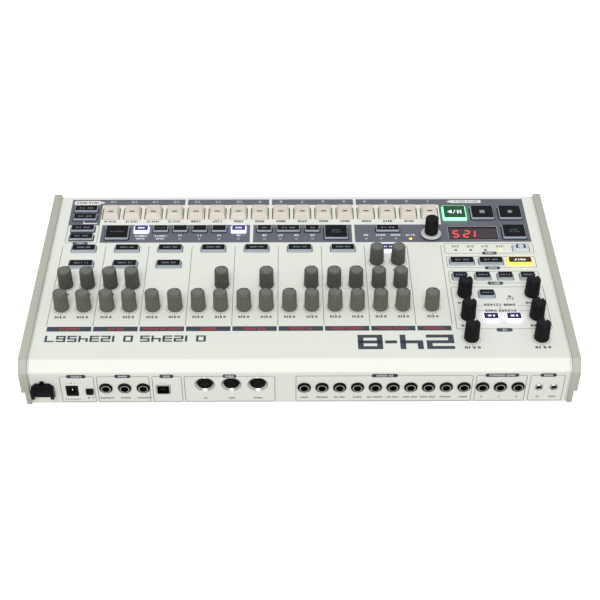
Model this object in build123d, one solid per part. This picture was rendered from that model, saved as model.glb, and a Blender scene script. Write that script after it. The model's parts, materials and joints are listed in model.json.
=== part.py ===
from build123d import *
import math
import os

# Desktop drum machine: a sloping sheet-metal case between two side cheeks, with rotary
# controls, push keys and a rear row of sockets. Millimetres, +Z up, +Y to the rear, the
# origin on the standing surface under the middle of the machine.

# ---- Case ----
SHEET = 1.2                  # steel sheet of the cover and the tray
BEND = 1.2                   # inside radius of the cover's bends
FOOT_HEIGHT = 6.0
FOOT_RADIUS = 8.0
FOOT_INSET = 24.0            # foot centre from the tray's edges
FOOT_TAPER = 0.8
PANEL_SLOPE = 4.5            # degrees that the control panel rises to the rear
FRONT_HEIGHT = 27.1          # base to the panel's front edge
CHAMFER_RUN = 9.6            # bevel between the panel and the rear wall
CHAMFER_DROP = 7.4
LIP = 12.0                   # inward returns of the cover that stand on the tray

# ---- Side cheeks ----
CHEEK_INNER = 4.5            # full-height layer
CHEEK_FLANGE = 3.0           # outer layer, which stops above the base
CHEEK_REVEAL = 2.5           # how far the cheek stands above the panel
CHEEK_FRONT_INSET = 0.4      # cover's front edge behind the cheek's
CHEEK_REAR_INSET = 2.0       # rear wall in front of the cheek's rear edge
CHEEK_CHAMFER_RUN = 8.3
CHEEK_CHAMFER_DROP = 9.9
FLANGE_FRONT = 8.5           # flange's lower edge above the base, front and rear
FLANGE_REAR = 15.4
EDGE_GAP = 1.5               # shadow gap between the cover and each cheek
WALL_DROP = 0.4              # tray's side walls below the cover's outline

# ---- Boards inside ----
BOARD = 1.6
BOARD_DEPTH = 12.0           # panel surface down to the control board's upper face
BOARD_MARGIN = 6.0
BOARD_EDGE = 2.5             # board past the last control
BOARD_FRONT = 5.0            # board's front edge from the panel's
SPACER_FLATS = 5.5           # hexagon spacers under the panel

# ---- Screws, all alike ----
SCREW_RADIUS = 1.5
SCREW_LENGTH = 6.0
HEAD_RADIUS = 2.8
HEAD_HEIGHT = 1.8
SCREW_CLEARANCE = 0.2
SCREW_PLAY = 0.05            # thread engagement
LIP_SCREW_PITCH = 100.0
CHEEK_SCREW_INSET = 26.0
CLINCH_RADIUS = 3.0          # clinch nuts on the cover's returns
CLINCH_HEIGHT = 4.0

# ---- Rotary controls ----
KNOB_BASE = 13.8
KNOB_TOP = 13.0
KNOB_HEIGHT = 19.4           # above the panel
KNOB_FLOAT = 0.8             # under the knob
KNOB_EDGE = 0.7
OUTPUT_BASE = 13.8
OUTPUT_TOP = 13.2
OUTPUT_HEIGHT = 19.0
DIAL_DIAMETER = 13.2
DIAL_HEIGHT = 21.0
DIAL_FLANGE = 20.5           # knurled ring around the dial's foot
DIAL_FLANGE_HEIGHT = 2.8
SHAFT = 6.0
SHAFT_TIP = 4.0              # cap's crown over the end of its shaft
SHAFT_FIT = 0.03             # radial play of a cap on its shaft
SHAFT_PLAY = 0.1             # radial play of a shaft in its bushing
SHAFT_GRIP = 8.0             # shaft inside its bushing
SHAFT_END_GAP = 0.3
SHAFT_HOLE_GAP = 0.6
BUSHING_WALL = 0.8
BUSHING_GAP = 0.4            # bushing under the cover
POT_BODY = (9.8, 11.5, 6.8)
DIAL_BODY = (12.4, 12.4, 6.8)
POINTER_ANGLE = 240.0        # pointer at its lowest setting, from the panel's right
POINTER_DEPTH = 0.4
POINTER_WIDTH = 1.1
POINTER_LENGTH = 2.4

# ---- Keys: width and length at the panel, then of the top, then height ----
STEP_KEY = (16.6, 19.2, 13.4, 15.7, 5.0)
WIDE_KEY = (23.8, 10.2, 22.6, 9.2, 2.8)
SMALL_KEY = (15.0, 10.2, 13.6, 9.2, 2.8)
TILE_KEY = (23.6, 22.0, 22.6, 21.2, 2.8)
OPTION_KEY = (16.2, 10.0, 14.4, 8.2, 2.4)
KEY_CORNER = 1.2
INLAY_RIM = 0.4
INLAY_DEPTH = 0.6
STEP_WINDOW = (5.3, 1.7)
STEP_WINDOW_REAR = 2.6       # light window behind the middle of a step key
STEP_SIDE_GAP = 0.8
STEP_FORWARD = 0.75          # crown of a step key in front of its foot's middle
KEY_GAP = 0.7                # key to the edge of its hole
KEY_LIP = 1.1                # retaining lip around the sunk part
KEY_LIP_HEIGHT = 1.2
KEY_LIP_GAP = 0.35           # retaining lip under the panel sheet
KEY_TRAVEL = 1.0
STEM_RADIUS = 1.6
STEM_PLAY = 0.25
STEM_GRIP = 3.2              # stem inside its switch
STEM_END_GAP = 0.3
SWITCH = 6.2
SWITCH_HEIGHT = 5.0
STEP_COUNT = 16

# ---- Panel layout across ----
COLUMN_MARGIN = 9.6          # panel's right edge to the first voice column
COLUMN_COUNT = 8
KNOB_GAP = 6.8               # between the two knobs of a column
COLUMN_GAP = 7.7             # between knobs of neighbouring columns
ACCENT_WIDTH = 32.6
OUTPUT_GAP = 8.9             # accent column to the output knobs
OUTPUT_SPREAD = 63.2         # between the two ranks of output knobs
OUTPUT_MARGIN = 15.0         # output knobs to the panel's left edge
STEP_BAR = 3.2               # panel between the holes of neighbouring step keys
ROW_MARGIN = 13.6
STACK_GAP = 4.5              # step keys to the stack of keys on their right
TRANSPORT_GAP = 4.25         # step keys to the transport keys on their left
TILE_GAP = 4.5
SMALL_GAP = 4.3
BANK_GAP = 10.6
DISPLAY_GAP = 4.5
DIAL_GAP = 7.2
TEMPO_GAP = 20.2
TRACK_INSET = 6.4            # record tile inside the right-hand step key's edge
OPTION_INSET = 14.4
MODE_GAP = 4.2
AUTO_GAP = 6.5
FILTER_GAP = 6.1

# ---- Panel layout from the front edge to the rear ----
STEP_FRONT = 20.4
TRANSPORT_FRONT = 20.2
STACK_FRONT = 18.6
STACK_PAIR_GAP = 3.75
STACK_BREAK = 8.45
BANK_FRONT_GAP = 12.7
WINDOW_FRONT_GAP = 0.8       # display window behind the front of the keys beside it
DIAL_REAR = 14.7             # dial's axis behind the front of the same keys
SELECT_GAP = 9.3
SECOND_SELECT_GAP = 14.2
FRONT_KNOB_GAP = 8.9
MIDDLE_KNOB_GAP = 21.9
REAR_KNOB_GAP = 18.9
MODE_ROW_GAP = 10.8
AUTO_ROW_GAP = 13.0
OUTPUT_ROW_GAP = 14.8
OUTPUT_PITCHES = (32.3, 29.9)  # front row to the middle one, middle row to the rear one
WAVE_ROW_GAP = 16.4
FILTER_ROW_GAP = 23.3
REAR_BAND = 62.9             # printed band behind the last knobs

# ---- Lights and display ----
LIGHT_RADIUS = 1.1
LIGHT_HOLE_GAP = 0.5
LIGHT_PROUD = 0.2
LIGHT_REAR_GAP = 10.2        # bank lights behind their keys
TEMPO_LIGHT_PITCH = 14.6
OPTION_LIGHT_PITCH = 14.5
OPTION_LIGHT_GAP = 12.2
OPTION_LIGHT_REAR = 2.2
LIGHT_REAR = 2.4             # filter light behind its key's middle
WINDOW = (48.9, 21.2)
WINDOW_MARGIN = 1.5
WINDOW_SHEET = 1.2

# ---- Rear sockets ----
JACK_HEIGHT = 19.5           # jack axis above the base
JACK_PITCH = 15.9
JACK_BODY = 13.4
SOCKET_DEPTH = 21.0          # rear wall to the jack board
JACK_BORE = 3.25
JACK_REACH = 21.0            # depth of the plug's bore
SLEEVE_RADIUS = 4.5
SLEEVE_PROUD = 2.4
NUT_RADIUS = 6.0
NUT_HEIGHT = 1.8
NUT_PLAY = 0.05
MINI_BORE = 1.8
MINI_REACH = 15.0
MINI_SLEEVE = 3.0
MINI_PROUD = 1.6
MINI_RING = 3.9
MINI_RING_HEIGHT = 1.2
MINI_BODY = 9.0
MINI_PITCH = 13.3
SOCKET_GAP = 0.3             # around sleeves and shells in the rear wall
MAIN_PITCH = 16.7
MAIN_JACKS = 3
VOICE_JACKS = 10
TRIGGER_JACKS = 3
MINI_COUNT = 2
MINI_MARGIN = 12.5           # first mini jack from the panel's left edge
TRIGGER_FROM_MINI = 18.7     # axis to axis, as are the distances below
VOICE_FROM_TRIGGER = 16.7
DIN_COUNT = 3
DIN_PITCH = 23.6
DIN_HEIGHT = 23.5
DIN_RADIUS = 8.8
DIN_SHELL = 0.95
DIN_CORE = 6.7
DIN_BODY = 19.6
DIN_RECESS = 1.2
DIN_GROOVE = 8.0
DIN_PINS = 5
DIN_PIN_RADIUS = 0.8
DIN_PIN_CIRCLE = 4.45
DIN_PIN_STEP = 45.0
USB_SIZE = (12.6, 12.0)
USB_WALL = 0.9
USB_POCKET = 9.0
USB_TONGUE = (5.6, 3.2)
USB_TONGUE_LENGTH = 8.2
DC_SIZE = (10.6, 13.0)
DC_BORE = 3.1
DC_DEPTH = 9.5
DC_PIN = 1.0
SOCKET_PROUD = 0.4
USB_HEIGHT = 17.0
DC_HEIGHT = 15.8
POWER_SIZE = (6.4, 5.8)
POWER_PROUD = 2.4
POWER_SINK = 6.0
POWER_TRAVEL = 1.6
POWER_GAP = 0.3              # around the button
POWER_HEIGHT = 15.4
POWER_BODY = (10.0, 10.0)
HOOK_MARGIN = 0.2            # cable hook from the panel's right edge
DC_FROM_HOOK = 25.9
POWER_FROM_DC = 15.6
MAIN_FROM_POWER = 14.8
USB_FROM_MAIN = 17.7
DIN_FROM_USB = 37.4

# ---- Cable hook ----
HOOK_WIDTH = 20.2
HOOK_TALL = 14.1
HOOK_REACH = 7.0
HOOK_PLATE = 1.6
HOOK_SKIRT = 2.8             # back plate below the arms
HOOK_ARM = 3.0
HOOK_BRIDGE = 5.0            # height of the bridge between the arms
HOOK_BASE = 11.8             # lower edge of the arms above the base
HOOK_NUB = (4.0, 2.8)
HOOK_SHOULDER = 3.8

# Voice columns from the player's left with knobs in the middle row: -1 the left one, 1 the right
TUNE_KNOBS = {0: (-1, 1), 1: (-1, 1), 2: (-1,), 3: (-1,), 4: (-1,), 6: (-1, 1), 7: (-1, 1)}


def middle(values):
    """Mean of a list of positions."""
    return sum(values) / len(values)


def laid_out(start, widths, gaps, way):
    """Centres of pieces laid side by side from start, in the direction way (+1 or -1)."""
    centres = []
    edge = start
    for width, gap in zip(widths, list(gaps) + [0.0]):
        centres.append(edge + way * width / 2)
        edge += way * (width + gap)
    return centres


# ---- Positions across the panel, +X to the player's right ----
step_hole = STEP_KEY[0] + 2 * STEP_SIDE_GAP
step_pitch = step_hole + STEP_BAR
knob_pair = KNOB_BASE + KNOB_GAP
column_pitch = knob_pair + KNOB_BASE + COLUMN_GAP
transport_run = 3 * TILE_KEY[0] + 2 * TILE_GAP
step_run = STEP_COUNT * step_pitch - STEP_BAR
row_run = WIDE_KEY[0] + STACK_GAP + step_run + TRANSPORT_GAP + transport_run
column_run = COLUMN_MARGIN + COLUMN_COUNT * column_pitch + ACCENT_WIDTH
output_run = OUTPUT_GAP + OUTPUT_BASE + OUTPUT_SPREAD + OUTPUT_MARGIN
panel_width = max(column_run + output_run, row_run + 2 * ROW_MARGIN)
panel_half = panel_width / 2
tray_half = panel_half + EDGE_GAP
body_half = tray_half + CHEEK_INNER + CHEEK_FLANGE

row_right = row_run / 2
stack_x = row_right - WIDE_KEY[0] / 2
step_right = row_right - WIDE_KEY[0] - STACK_GAP
step_x = laid_out(step_right, [step_hole] * STEP_COUNT, [STEP_BAR] * (STEP_COUNT - 1), -1)[::-1]
transport_right = step_right - step_run - TRANSPORT_GAP
transport_x = laid_out(transport_right, [TILE_KEY[0]] * 3, [TILE_GAP] * 2, -1)

column_edges = [panel_half - COLUMN_MARGIN - n * column_pitch for n in range(COLUMN_COUNT + 1)]
column_x = [edge - column_pitch / 2 for edge in column_edges[:COLUMN_COUNT]][::-1]
accent_x = column_edges[-1] - ACCENT_WIDTH / 2
output_x = [-panel_half + OUTPUT_MARGIN + OUTPUT_BASE / 2 + n * OUTPUT_SPREAD for n in (0, 1)]
output_mid = middle(output_x)

bank_widths = [TILE_KEY[0]] + [SMALL_KEY[0]] * 7 + [WIDE_KEY[0], SMALL_KEY[0], TILE_KEY[0]]
bank_gaps = [SMALL_GAP] * 6 + [BANK_GAP] + [SMALL_GAP] * 3
bank_x = laid_out(step_right - TRACK_INSET, bank_widths, bank_gaps, -1)
left_widths = [TILE_KEY[0], WINDOW[0], DIAL_FLANGE, WIDE_KEY[0]]
left_start = transport_x[-1] - TILE_KEY[0] / 2
tap_x, window_x, dial_x, tempo_x = laid_out(left_start, left_widths, [DISPLAY_GAP, DIAL_GAP, TEMPO_GAP], 1)
option_x = -panel_half + OPTION_INSET + OPTION_KEY[0] / 2
mode_x = laid_out(-panel_half + OPTION_INSET, [WIDE_KEY[0]] * 3, [MODE_GAP] * 2, 1)
auto_x = laid_out(-panel_half + OPTION_INSET, [SMALL_KEY[0]] * 4, [AUTO_GAP] * 3, 1)
filter_pitch = SMALL_KEY[0] + FILTER_GAP
filter_x = [output_mid - filter_pitch / 2, output_mid + filter_pitch / 2]

# ---- Positions up the panel, from its front edge ----
step_v = STEP_FRONT + STEP_KEY[1] / 2
transport_v = TRANSPORT_FRONT + TILE_KEY[1] / 2
stack_gaps = [STACK_PAIR_GAP, STACK_BREAK, STACK_PAIR_GAP]
stack_v = laid_out(STACK_FRONT, [WIDE_KEY[1]] * 4, stack_gaps, 1)
bank_front = STEP_FRONT + STEP_KEY[1] + BANK_FRONT_GAP
small_v = bank_front + SMALL_KEY[1] / 2
tile_v = bank_front + TILE_KEY[1] / 2
window_v = bank_front + WINDOW_FRONT_GAP + WINDOW[1] / 2
dial_v = bank_front + DIAL_REAR
select_front = bank_front + TILE_KEY[1] + SELECT_GAP
select_v = select_front + WIDE_KEY[1] / 2
second_v = select_v + WIDE_KEY[1] + SECOND_SELECT_GAP
front_knob_v = select_front + WIDE_KEY[1] + FRONT_KNOB_GAP + KNOB_BASE / 2
middle_knob_v = front_knob_v + KNOB_BASE + MIDDLE_KNOB_GAP
rear_knob_v = middle_knob_v + KNOB_BASE + REAR_KNOB_GAP
mode_v = select_v + WIDE_KEY[1] + MODE_ROW_GAP
auto_v = mode_v + WIDE_KEY[1] / 2 + AUTO_ROW_GAP + SMALL_KEY[1] / 2
output_front_v = auto_v + SMALL_KEY[1] / 2 + OUTPUT_ROW_GAP + OUTPUT_BASE / 2
output_v = [output_front_v + sum(OUTPUT_PITCHES[:n]) for n in (0, 1, 2)]
wave_v = auto_v + SMALL_KEY[1] + WAVE_ROW_GAP
filter_v = wave_v + SMALL_KEY[1] + FILTER_ROW_GAP
panel_length = rear_knob_v + KNOB_BASE / 2 + REAR_BAND
light_v = bank_front + SMALL_KEY[1] + LIGHT_REAR_GAP

# ---- Reference planes ----
slope = math.radians(PANEL_SLOPE)
base_z = FOOT_HEIGHT
panel_rise = panel_length * math.sin(slope)
cover_depth = panel_length * math.cos(slope) + CHAMFER_RUN
total_depth = CHEEK_FRONT_INSET + cover_depth + HOOK_REACH
cheek_front_y = -total_depth / 2
cover_front_y = cheek_front_y + CHEEK_FRONT_INSET
ridge_y = cover_front_y + panel_length * math.cos(slope)
rear_y = cover_front_y + cover_depth
cheek_rear_y = rear_y + CHEEK_REAR_INSET
panel_z = base_z + FRONT_HEIGHT
ridge_z = panel_z + panel_rise
panel_normal = (0, -math.sin(slope), math.cos(slope))
panel = Plane(origin=(0, cover_front_y, panel_z), x_dir=(1, 0, 0), z_dir=panel_normal)
rear = Plane(origin=(0, rear_y, base_z), x_dir=(-1, 0, 0), z_dir=(0, 1, 0))

board_top = -BOARD_DEPTH
board_bottom = board_top - BOARD
board_rear_v = output_v[-1] + POT_BODY[1] / 2 + BOARD_EDGE
bushing_top = -SHEET - BUSHING_GAP
shaft_bottom = bushing_top - SHAFT_GRIP
switch_top = board_top + SWITCH_HEIGHT
stem_bottom = switch_top - STEM_GRIP
lip_top = -SHEET - KEY_LIP_GAP
lip_bottom = lip_top - KEY_LIP_HEIGHT
socket_back = -SHEET - SOCKET_DEPTH


def on_panel(x, v, h=0.0):
    """Place on the control panel: across, up the slope, and above its surface."""
    return panel.location * Pos(x, v, h)


def on_rear(x, z, out=0.0):
    """Place on the rear wall: across, above the case's base, and out of its surface."""
    return rear.location * Pos(-x, z, out)


def block(width, length, bottom, top):
    """Box centred on the local origin, between two heights."""
    return Pos(0, 0, (bottom + top) / 2) * Box(width, length, top - bottom)


def post(radius, bottom, top):
    """Cylinder on the local Z axis, between two heights."""
    return Pos(0, 0, (bottom + top) / 2) * Cylinder(radius, top - bottom)


def side_plate(points, thickness):
    """Plate with an outline in the YZ plane, from X = 0 towards +X."""
    outline = make_face(Polyline(*points, close=True))
    return extrude(Plane.YZ * outline, thickness)


def screw():
    """Pan-head screw pointing up, its head's underside at the local origin."""
    return post(HEAD_RADIUS, -HEAD_HEIGHT, 0) + post(SCREW_RADIUS, 0, SCREW_LENGTH)


# ---- Control tables: name, key sizes and places ----
step_places = [(x, step_v) for x in step_x]
tile_places = [(x, transport_v) for x in transport_x]
tile_places += [(x, tile_v) for x in (tap_x, bank_x[0], bank_x[-1])]
select_places = [(x, select_v) for x in column_x] + [(x, second_v) for x in column_x[-3:]]
stack_places = [(stack_x, v) for v in stack_v]
wide_places = [(tempo_x, small_v), (bank_x[8], small_v)] + [(x, mode_v) for x in mode_x]
small_places = [(bank_x[n], small_v) for n in (1, 2, 3, 4, 5, 6, 7, 9)] + [(x, auto_v) for x in auto_x]
filter_places = [(filter_x[1], wave_v), (filter_x[0], filter_v), (filter_x[1], filter_v)]
option_places = [(option_x, select_v)]
half_steps = STEP_COUNT // 2
key_banks = {
    "step_keys_1_to_8": [(STEP_KEY, step_places[:half_steps])],
    "step_keys_9_to_16": [(STEP_KEY, step_places[half_steps:])],
    "transport_and_track_keys": [(TILE_KEY, tile_places)],
    "voice_select_keys": [(WIDE_KEY, select_places)],
    "mode_keys": [(WIDE_KEY, stack_places + wide_places)],
    "function_keys": [(SMALL_KEY, small_places + filter_places), (OPTION_KEY, option_places)],
}

level_places = [(x + way * knob_pair / 2, rear_knob_v) for x in column_x for way in (-1, 1)]
tune_places = [(column_x[n] + way * knob_pair / 2, middle_knob_v)
               for n, ways in TUNE_KNOBS.items() for way in ways]
decay_places = [(column_x[0] + way * knob_pair / 2, front_knob_v) for way in (-1, 1)]
output_places = [(x, v) for v in output_v for x in output_x]
dial_places = [(dial_x, dial_v)]
voice_knobs = {
    "level_knob": [(accent_x, rear_knob_v)] + level_places,
    "tune_knob": tune_places,
    "decay_knob": decay_places,
}

all_knobs = [place for places in voice_knobs.values() for place in places] + output_places
all_keys = [place for bank in key_banks.values() for size, places in bank for place in places]

bank_lights = [(bank_x[n], light_v) for n in (3, 4, 5, 6)]
pattern_lights = [(bank_x[7] + n * (bank_x[9] - bank_x[7]) / 3, light_v) for n in range(4)]
tempo_lights = [(tempo_x + (n - 1.5) * TEMPO_LIGHT_PITCH, light_v) for n in range(4)]
option_light_x = option_x + OPTION_KEY[0] / 2 + OPTION_LIGHT_GAP
option_lights = [(option_light_x + n * OPTION_LIGHT_PITCH, select_v + OPTION_LIGHT_REAR) for n in range(4)]
lights = bank_lights + pattern_lights + tempo_lights + option_lights + [(filter_x[0], wave_v + LIGHT_REAR)]

front_spacer_v = STEP_FRONT / 2
middle_spacer_v = middle([second_v + WIDE_KEY[1] / 2, middle_knob_v - POT_BODY[1] / 2])
rear_spacer_v = output_v[-1]
spacer_rows = (front_spacer_v, middle_spacer_v, rear_spacer_v)
spacers = [(x, v) for x in column_edges[::2] for v in spacer_rows]
spacers += [(output_mid, v) for v in (front_spacer_v, middle([wave_v, filter_v]), rear_spacer_v)]

# ---- Rear socket positions ----
mini_x = [-panel_half + MINI_MARGIN + n * MINI_PITCH for n in range(MINI_COUNT)]
trigger_x = [mini_x[-1] + TRIGGER_FROM_MINI + n * JACK_PITCH for n in range(TRIGGER_JACKS)]
voice_x = [trigger_x[-1] + VOICE_FROM_TRIGGER + n * JACK_PITCH for n in range(VOICE_JACKS)]
hook_x = panel_half - HOOK_MARGIN - HOOK_WIDTH / 2
dc_x = hook_x - DC_FROM_HOOK
power_x = dc_x - POWER_FROM_DC
main_x = [power_x - MAIN_FROM_POWER - n * MAIN_PITCH for n in range(MAIN_JACKS)]
usb_x = main_x[-1] - USB_FROM_MAIN
din_x = [usb_x - DIN_FROM_USB - n * DIN_PITCH for n in range(DIN_COUNT)]
jack_x = trigger_x + voice_x + main_x
round_holes = [(SLEEVE_RADIUS, jack_x, JACK_HEIGHT), (MINI_SLEEVE, mini_x, JACK_HEIGHT),
               (DIN_RADIUS, din_x, DIN_HEIGHT)]
square_holes = [(usb_x, USB_HEIGHT, USB_SIZE, SOCKET_GAP), (dc_x, DC_HEIGHT, DC_SIZE, SOCKET_GAP),
                (power_x, POWER_HEIGHT, POWER_SIZE, POWER_GAP)]

# ---- Fixings ----
lip_screw_x = [n * LIP_SCREW_PITCH for n in (-2, -1, 0, 1, 2)]
lip_middle = SHEET + LIP / 2
lip_screws = [(x, y) for x in lip_screw_x for y in (cover_front_y + lip_middle, rear_y - lip_middle)]
cheek_screw_ends = [cover_front_y + CHEEK_SCREW_INSET, rear_y - CHEEK_SCREW_INSET]
cheek_screw_y = [cheek_screw_ends[0], middle(cheek_screw_ends), cheek_screw_ends[1]]


def flange_z(y):
    """Height of the lower edge of the cheeks' outer layer."""
    share = (y - cheek_front_y) / (cheek_rear_y - cheek_front_y)
    return base_z + FLANGE_FRONT + share * (FLANGE_REAR - FLANGE_FRONT)


def panel_surface_z(y):
    """Height of the panel's surface."""
    return panel_z + (y - cover_front_y) * math.tan(slope)


cheek_screws = [(y, middle([flange_z(y), panel_surface_z(y) - WALL_DROP])) for y in cheek_screw_y]


def key_cutter(size):
    """Hole in the panel for one key."""
    side_gap = STEP_SIDE_GAP if size is STEP_KEY else KEY_GAP
    outline = RectangleRounded(size[0] + 2 * side_gap, size[1] + 2 * KEY_GAP, KEY_CORNER + KEY_GAP)
    return Pos(0, 0, -2 * SHEET) * extrude(outline, 3 * SHEET)


def top_cover():
    """Bent sheet: front wall, control panel, bevel and rear wall, with returns on the tray."""
    floor = base_z + SHEET
    outline = Polyline((cover_front_y, floor), (cover_front_y, panel_z), (ridge_y, ridge_z),
                       (rear_y, ridge_z - CHAMFER_DROP), (rear_y, floor), close=True)
    face = make_face(outline)
    upper = [v for v in face.vertices() if v.Y > floor + SHEET]
    outer = fillet(upper, BEND + SHEET)
    inner = offset(outer, -SHEET, kind=Kind.INTERSECTION)
    opening_depth = cover_depth - 2 * (SHEET + LIP)
    opening = Pos(middle([cover_front_y, rear_y]), floor) * Rectangle(opening_depth, 3 * SHEET)
    shell = extrude(Plane.YZ * (outer - inner - opening), panel_half, both=True)
    nuts = [Pos(x, y, floor + SHEET) * post(CLINCH_RADIUS, 0, CLINCH_HEIGHT) for x, y in lip_screws]
    cutters = [on_panel(x, v) * key_cutter(size)
               for bank in key_banks.values() for size, places in bank for x, v in places]
    shaft_hole = post(SHAFT / 2 + SHAFT_HOLE_GAP, -2 * SHEET, SHEET)
    cutters += [on_panel(x, v) * shaft_hole for x, v in all_knobs + dial_places]
    light_hole = post(LIGHT_RADIUS + LIGHT_HOLE_GAP, -2 * SHEET, SHEET)
    cutters += [on_panel(x, v) * light_hole for x, v in lights]
    cutters.append(on_panel(window_x, window_v) * block(*WINDOW, -2 * SHEET, SHEET))
    for radius, xs, z in round_holes:
        cutters += [on_rear(x, z) * post(radius + SOCKET_GAP, -2 * SHEET, SHEET) for x in xs]
    for x, z, (width, height), gap in square_holes:
        cutters.append(on_rear(x, z) * block(width + 2 * gap, height + 2 * gap, -2 * SHEET, SHEET))
    bore = post(SCREW_RADIUS + SCREW_PLAY, -SHEET, 2 * SHEET + CLINCH_HEIGHT)
    cutters += [Pos(x, y, floor) * bore for x, y in lip_screws]
    return shell + nuts - cutters


def bottom_tray():
    """Base plate with upright side walls that the cheeks screw to."""
    depth = rear_y - cover_front_y
    plate = Pos(0, rear_y - depth / 2, base_z + SHEET / 2) * Box(2 * tray_half, depth, SHEET)
    front, back = cover_front_y + WALL_DROP, rear_y - WALL_DROP
    wall = side_plate([(front, base_z), (front, panel_z - WALL_DROP), (ridge_y, ridge_z - WALL_DROP),
                       (back, ridge_z - CHAMFER_DROP - WALL_DROP), (back, base_z)], SHEET)
    walls = [Pos(tray_half - SHEET, 0, 0) * wall, Pos(-tray_half, 0, 0) * wall]
    hole = post(SCREW_RADIUS + SCREW_CLEARANCE, -SHEET, 2 * SHEET)
    cutters = [Pos(x, y, base_z) * hole for x, y in lip_screws]
    side_hole = Rot(Y=90) * post(SCREW_RADIUS + SCREW_CLEARANCE, -2 * tray_half, 2 * tray_half)
    cutters += [Pos(0, y, z) * side_hole for y, z in cheek_screws]
    return plate + walls - cutters


def right_cheek():
    """Side cheek in two layers, the outer one cut short above the base."""
    top = panel_z + CHEEK_REVEAL - CHEEK_FRONT_INSET * math.tan(slope)
    cheek_ridge_y = cheek_rear_y - CHEEK_CHAMFER_RUN
    cheek_ridge_z = top + (cheek_ridge_y - cheek_front_y) * math.tan(slope)
    crown = [(cheek_front_y, top), (cheek_ridge_y, cheek_ridge_z),
             (cheek_rear_y, cheek_ridge_z - CHEEK_CHAMFER_DROP)]
    inner = side_plate([(cheek_front_y, base_z)] + crown + [(cheek_rear_y, base_z)], CHEEK_INNER)
    low = [(cheek_front_y, flange_z(cheek_front_y))]
    outer = side_plate(low + crown + [(cheek_rear_y, flange_z(cheek_rear_y))], CHEEK_FLANGE)
    pilot = Rot(Y=90) * post(SCREW_RADIUS + SCREW_PLAY, 0, SCREW_LENGTH - SHEET + SCREW_CLEARANCE)
    plate = inner + Pos(CHEEK_INNER, 0, 0) * outer - [Pos(0, y, z) * pilot for y, z in cheek_screws]
    return Pos(tray_half, 0, 0) * plate


def control_board():
    """Circuit board parallel to the panel that carries its switches and potentiometers."""
    width, length = 2 * (panel_half - BOARD_MARGIN), board_rear_v - BOARD_FRONT
    board = on_panel(0, BOARD_FRONT + length / 2) * block(width, length, board_bottom, board_top)
    hole = post(SCREW_RADIUS + SCREW_CLEARANCE, board_bottom - BOARD, board_top + BOARD)
    return board - [on_panel(x, v) * hole for x, v in spacers]


def spacer():
    """Hexagonal threaded spacer between the panel and the control board."""
    flats = RegularPolygon(SPACER_FLATS / 2, 6, major_radius=False)
    body = Pos(0, 0, board_top) * extrude(flats, BOARD_DEPTH - SHEET)
    return body - post(SCREW_RADIUS + SCREW_PLAY, board_top, board_bottom + SCREW_LENGTH + SCREW_CLEARANCE)


def case_screws():
    """Every screw: cover returns to tray, cheeks to tray walls, board to spacers."""
    under = [Pos(x, y, base_z) * screw() for x, y in lip_screws]
    inner_face = tray_half - SHEET
    right = [Pos(inner_face, y, z) * Rot(Y=90) * screw() for y, z in cheek_screws]
    left = [Pos(-inner_face, y, z) * Rot(Y=-90) * screw() for y, z in cheek_screws]
    return under + right + left + [on_panel(x, v, board_bottom) * screw() for x, v in spacers]


def potentiometer(body):
    """Potentiometer or encoder body with the bushing that its shaft turns in."""
    width, length, height = body
    bore_radius = SHAFT / 2 + SHAFT_PLAY
    housing = block(width, length, board_top, board_top + height)
    housing += post(bore_radius + BUSHING_WALL, board_top + height, bushing_top)
    return housing - post(bore_radius, shaft_bottom - SHAFT_END_GAP, bushing_top)


def knob(base, top, height):
    """Tapered cap with a pointer groove, on the shaft that it turns."""
    tip = height - SHAFT_TIP
    cap = Pos(0, 0, middle([KNOB_FLOAT, height])) * Cone(base / 2, top / 2, height - KNOB_FLOAT)
    cap = chamfer(cap.edges().group_by(Axis.Z)[-1], KNOB_EDGE)
    groove = block(POINTER_LENGTH, POINTER_WIDTH, height - POINTER_DEPTH, height + POINTER_DEPTH)
    cap -= Rot(Z=POINTER_ANGLE) * Pos((top - POINTER_LENGTH) / 2, 0, 0) * groove
    cap -= post(SHAFT / 2 + SHAFT_FIT, KNOB_FLOAT - SHEET, tip)
    return [cap, post(SHAFT / 2, shaft_bottom, tip)]


def tempo_dial():
    """Endless dial: tall cap over a wide knurled ring, on its shaft."""
    ring_top = KNOB_FLOAT + DIAL_FLANGE_HEIGHT
    tip = DIAL_HEIGHT - SHAFT_TIP
    ring = post(DIAL_FLANGE / 2, KNOB_FLOAT, ring_top) - post(SHAFT / 2 + SHAFT_FIT, 0, ring_top)
    cap = post(DIAL_DIAMETER / 2, ring_top, DIAL_HEIGHT)
    cap = chamfer(cap.edges().group_by(Axis.Z)[-1], KNOB_EDGE)
    cap -= post(SHAFT / 2 + SHAFT_FIT, ring_top, tip)
    return [ring, cap, post(SHAFT / 2, shaft_bottom, tip)]


def key(size):
    """Key cap with its retaining lip and stem, and the insert in its top."""
    width, length, top_width, top_length, rise = size
    foot = RectangleRounded(width, length, KEY_CORNER)
    forward = STEP_FORWARD if size is STEP_KEY else 0
    crown = Pos(0, -forward, rise) * RectangleRounded(top_width, top_length, KEY_CORNER)
    cap = loft([foot, crown], ruled=True) + extrude(foot, lip_bottom)
    cap += block(width + 2 * KEY_LIP, length + 2 * KEY_LIP, lip_bottom, lip_top)
    cap += post(STEM_RADIUS, stem_bottom, lip_bottom)
    if size is STEP_KEY:
        insert = Pos(0, STEP_WINDOW_REAR, 0) * block(*STEP_WINDOW, rise - INLAY_DEPTH, rise)
    else:
        insert = block(top_width - 2 * INLAY_RIM, top_length - 2 * INLAY_RIM, rise - INLAY_DEPTH, rise)
    return [cap - insert, insert]


def switch():
    """Push switch on the control board, with a blind hole for a key's stem."""
    bottom = stem_bottom - KEY_TRAVEL - STEM_END_GAP
    return block(SWITCH, SWITCH, board_top, switch_top) - post(STEM_RADIUS + STEM_PLAY, bottom, switch_top)


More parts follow.
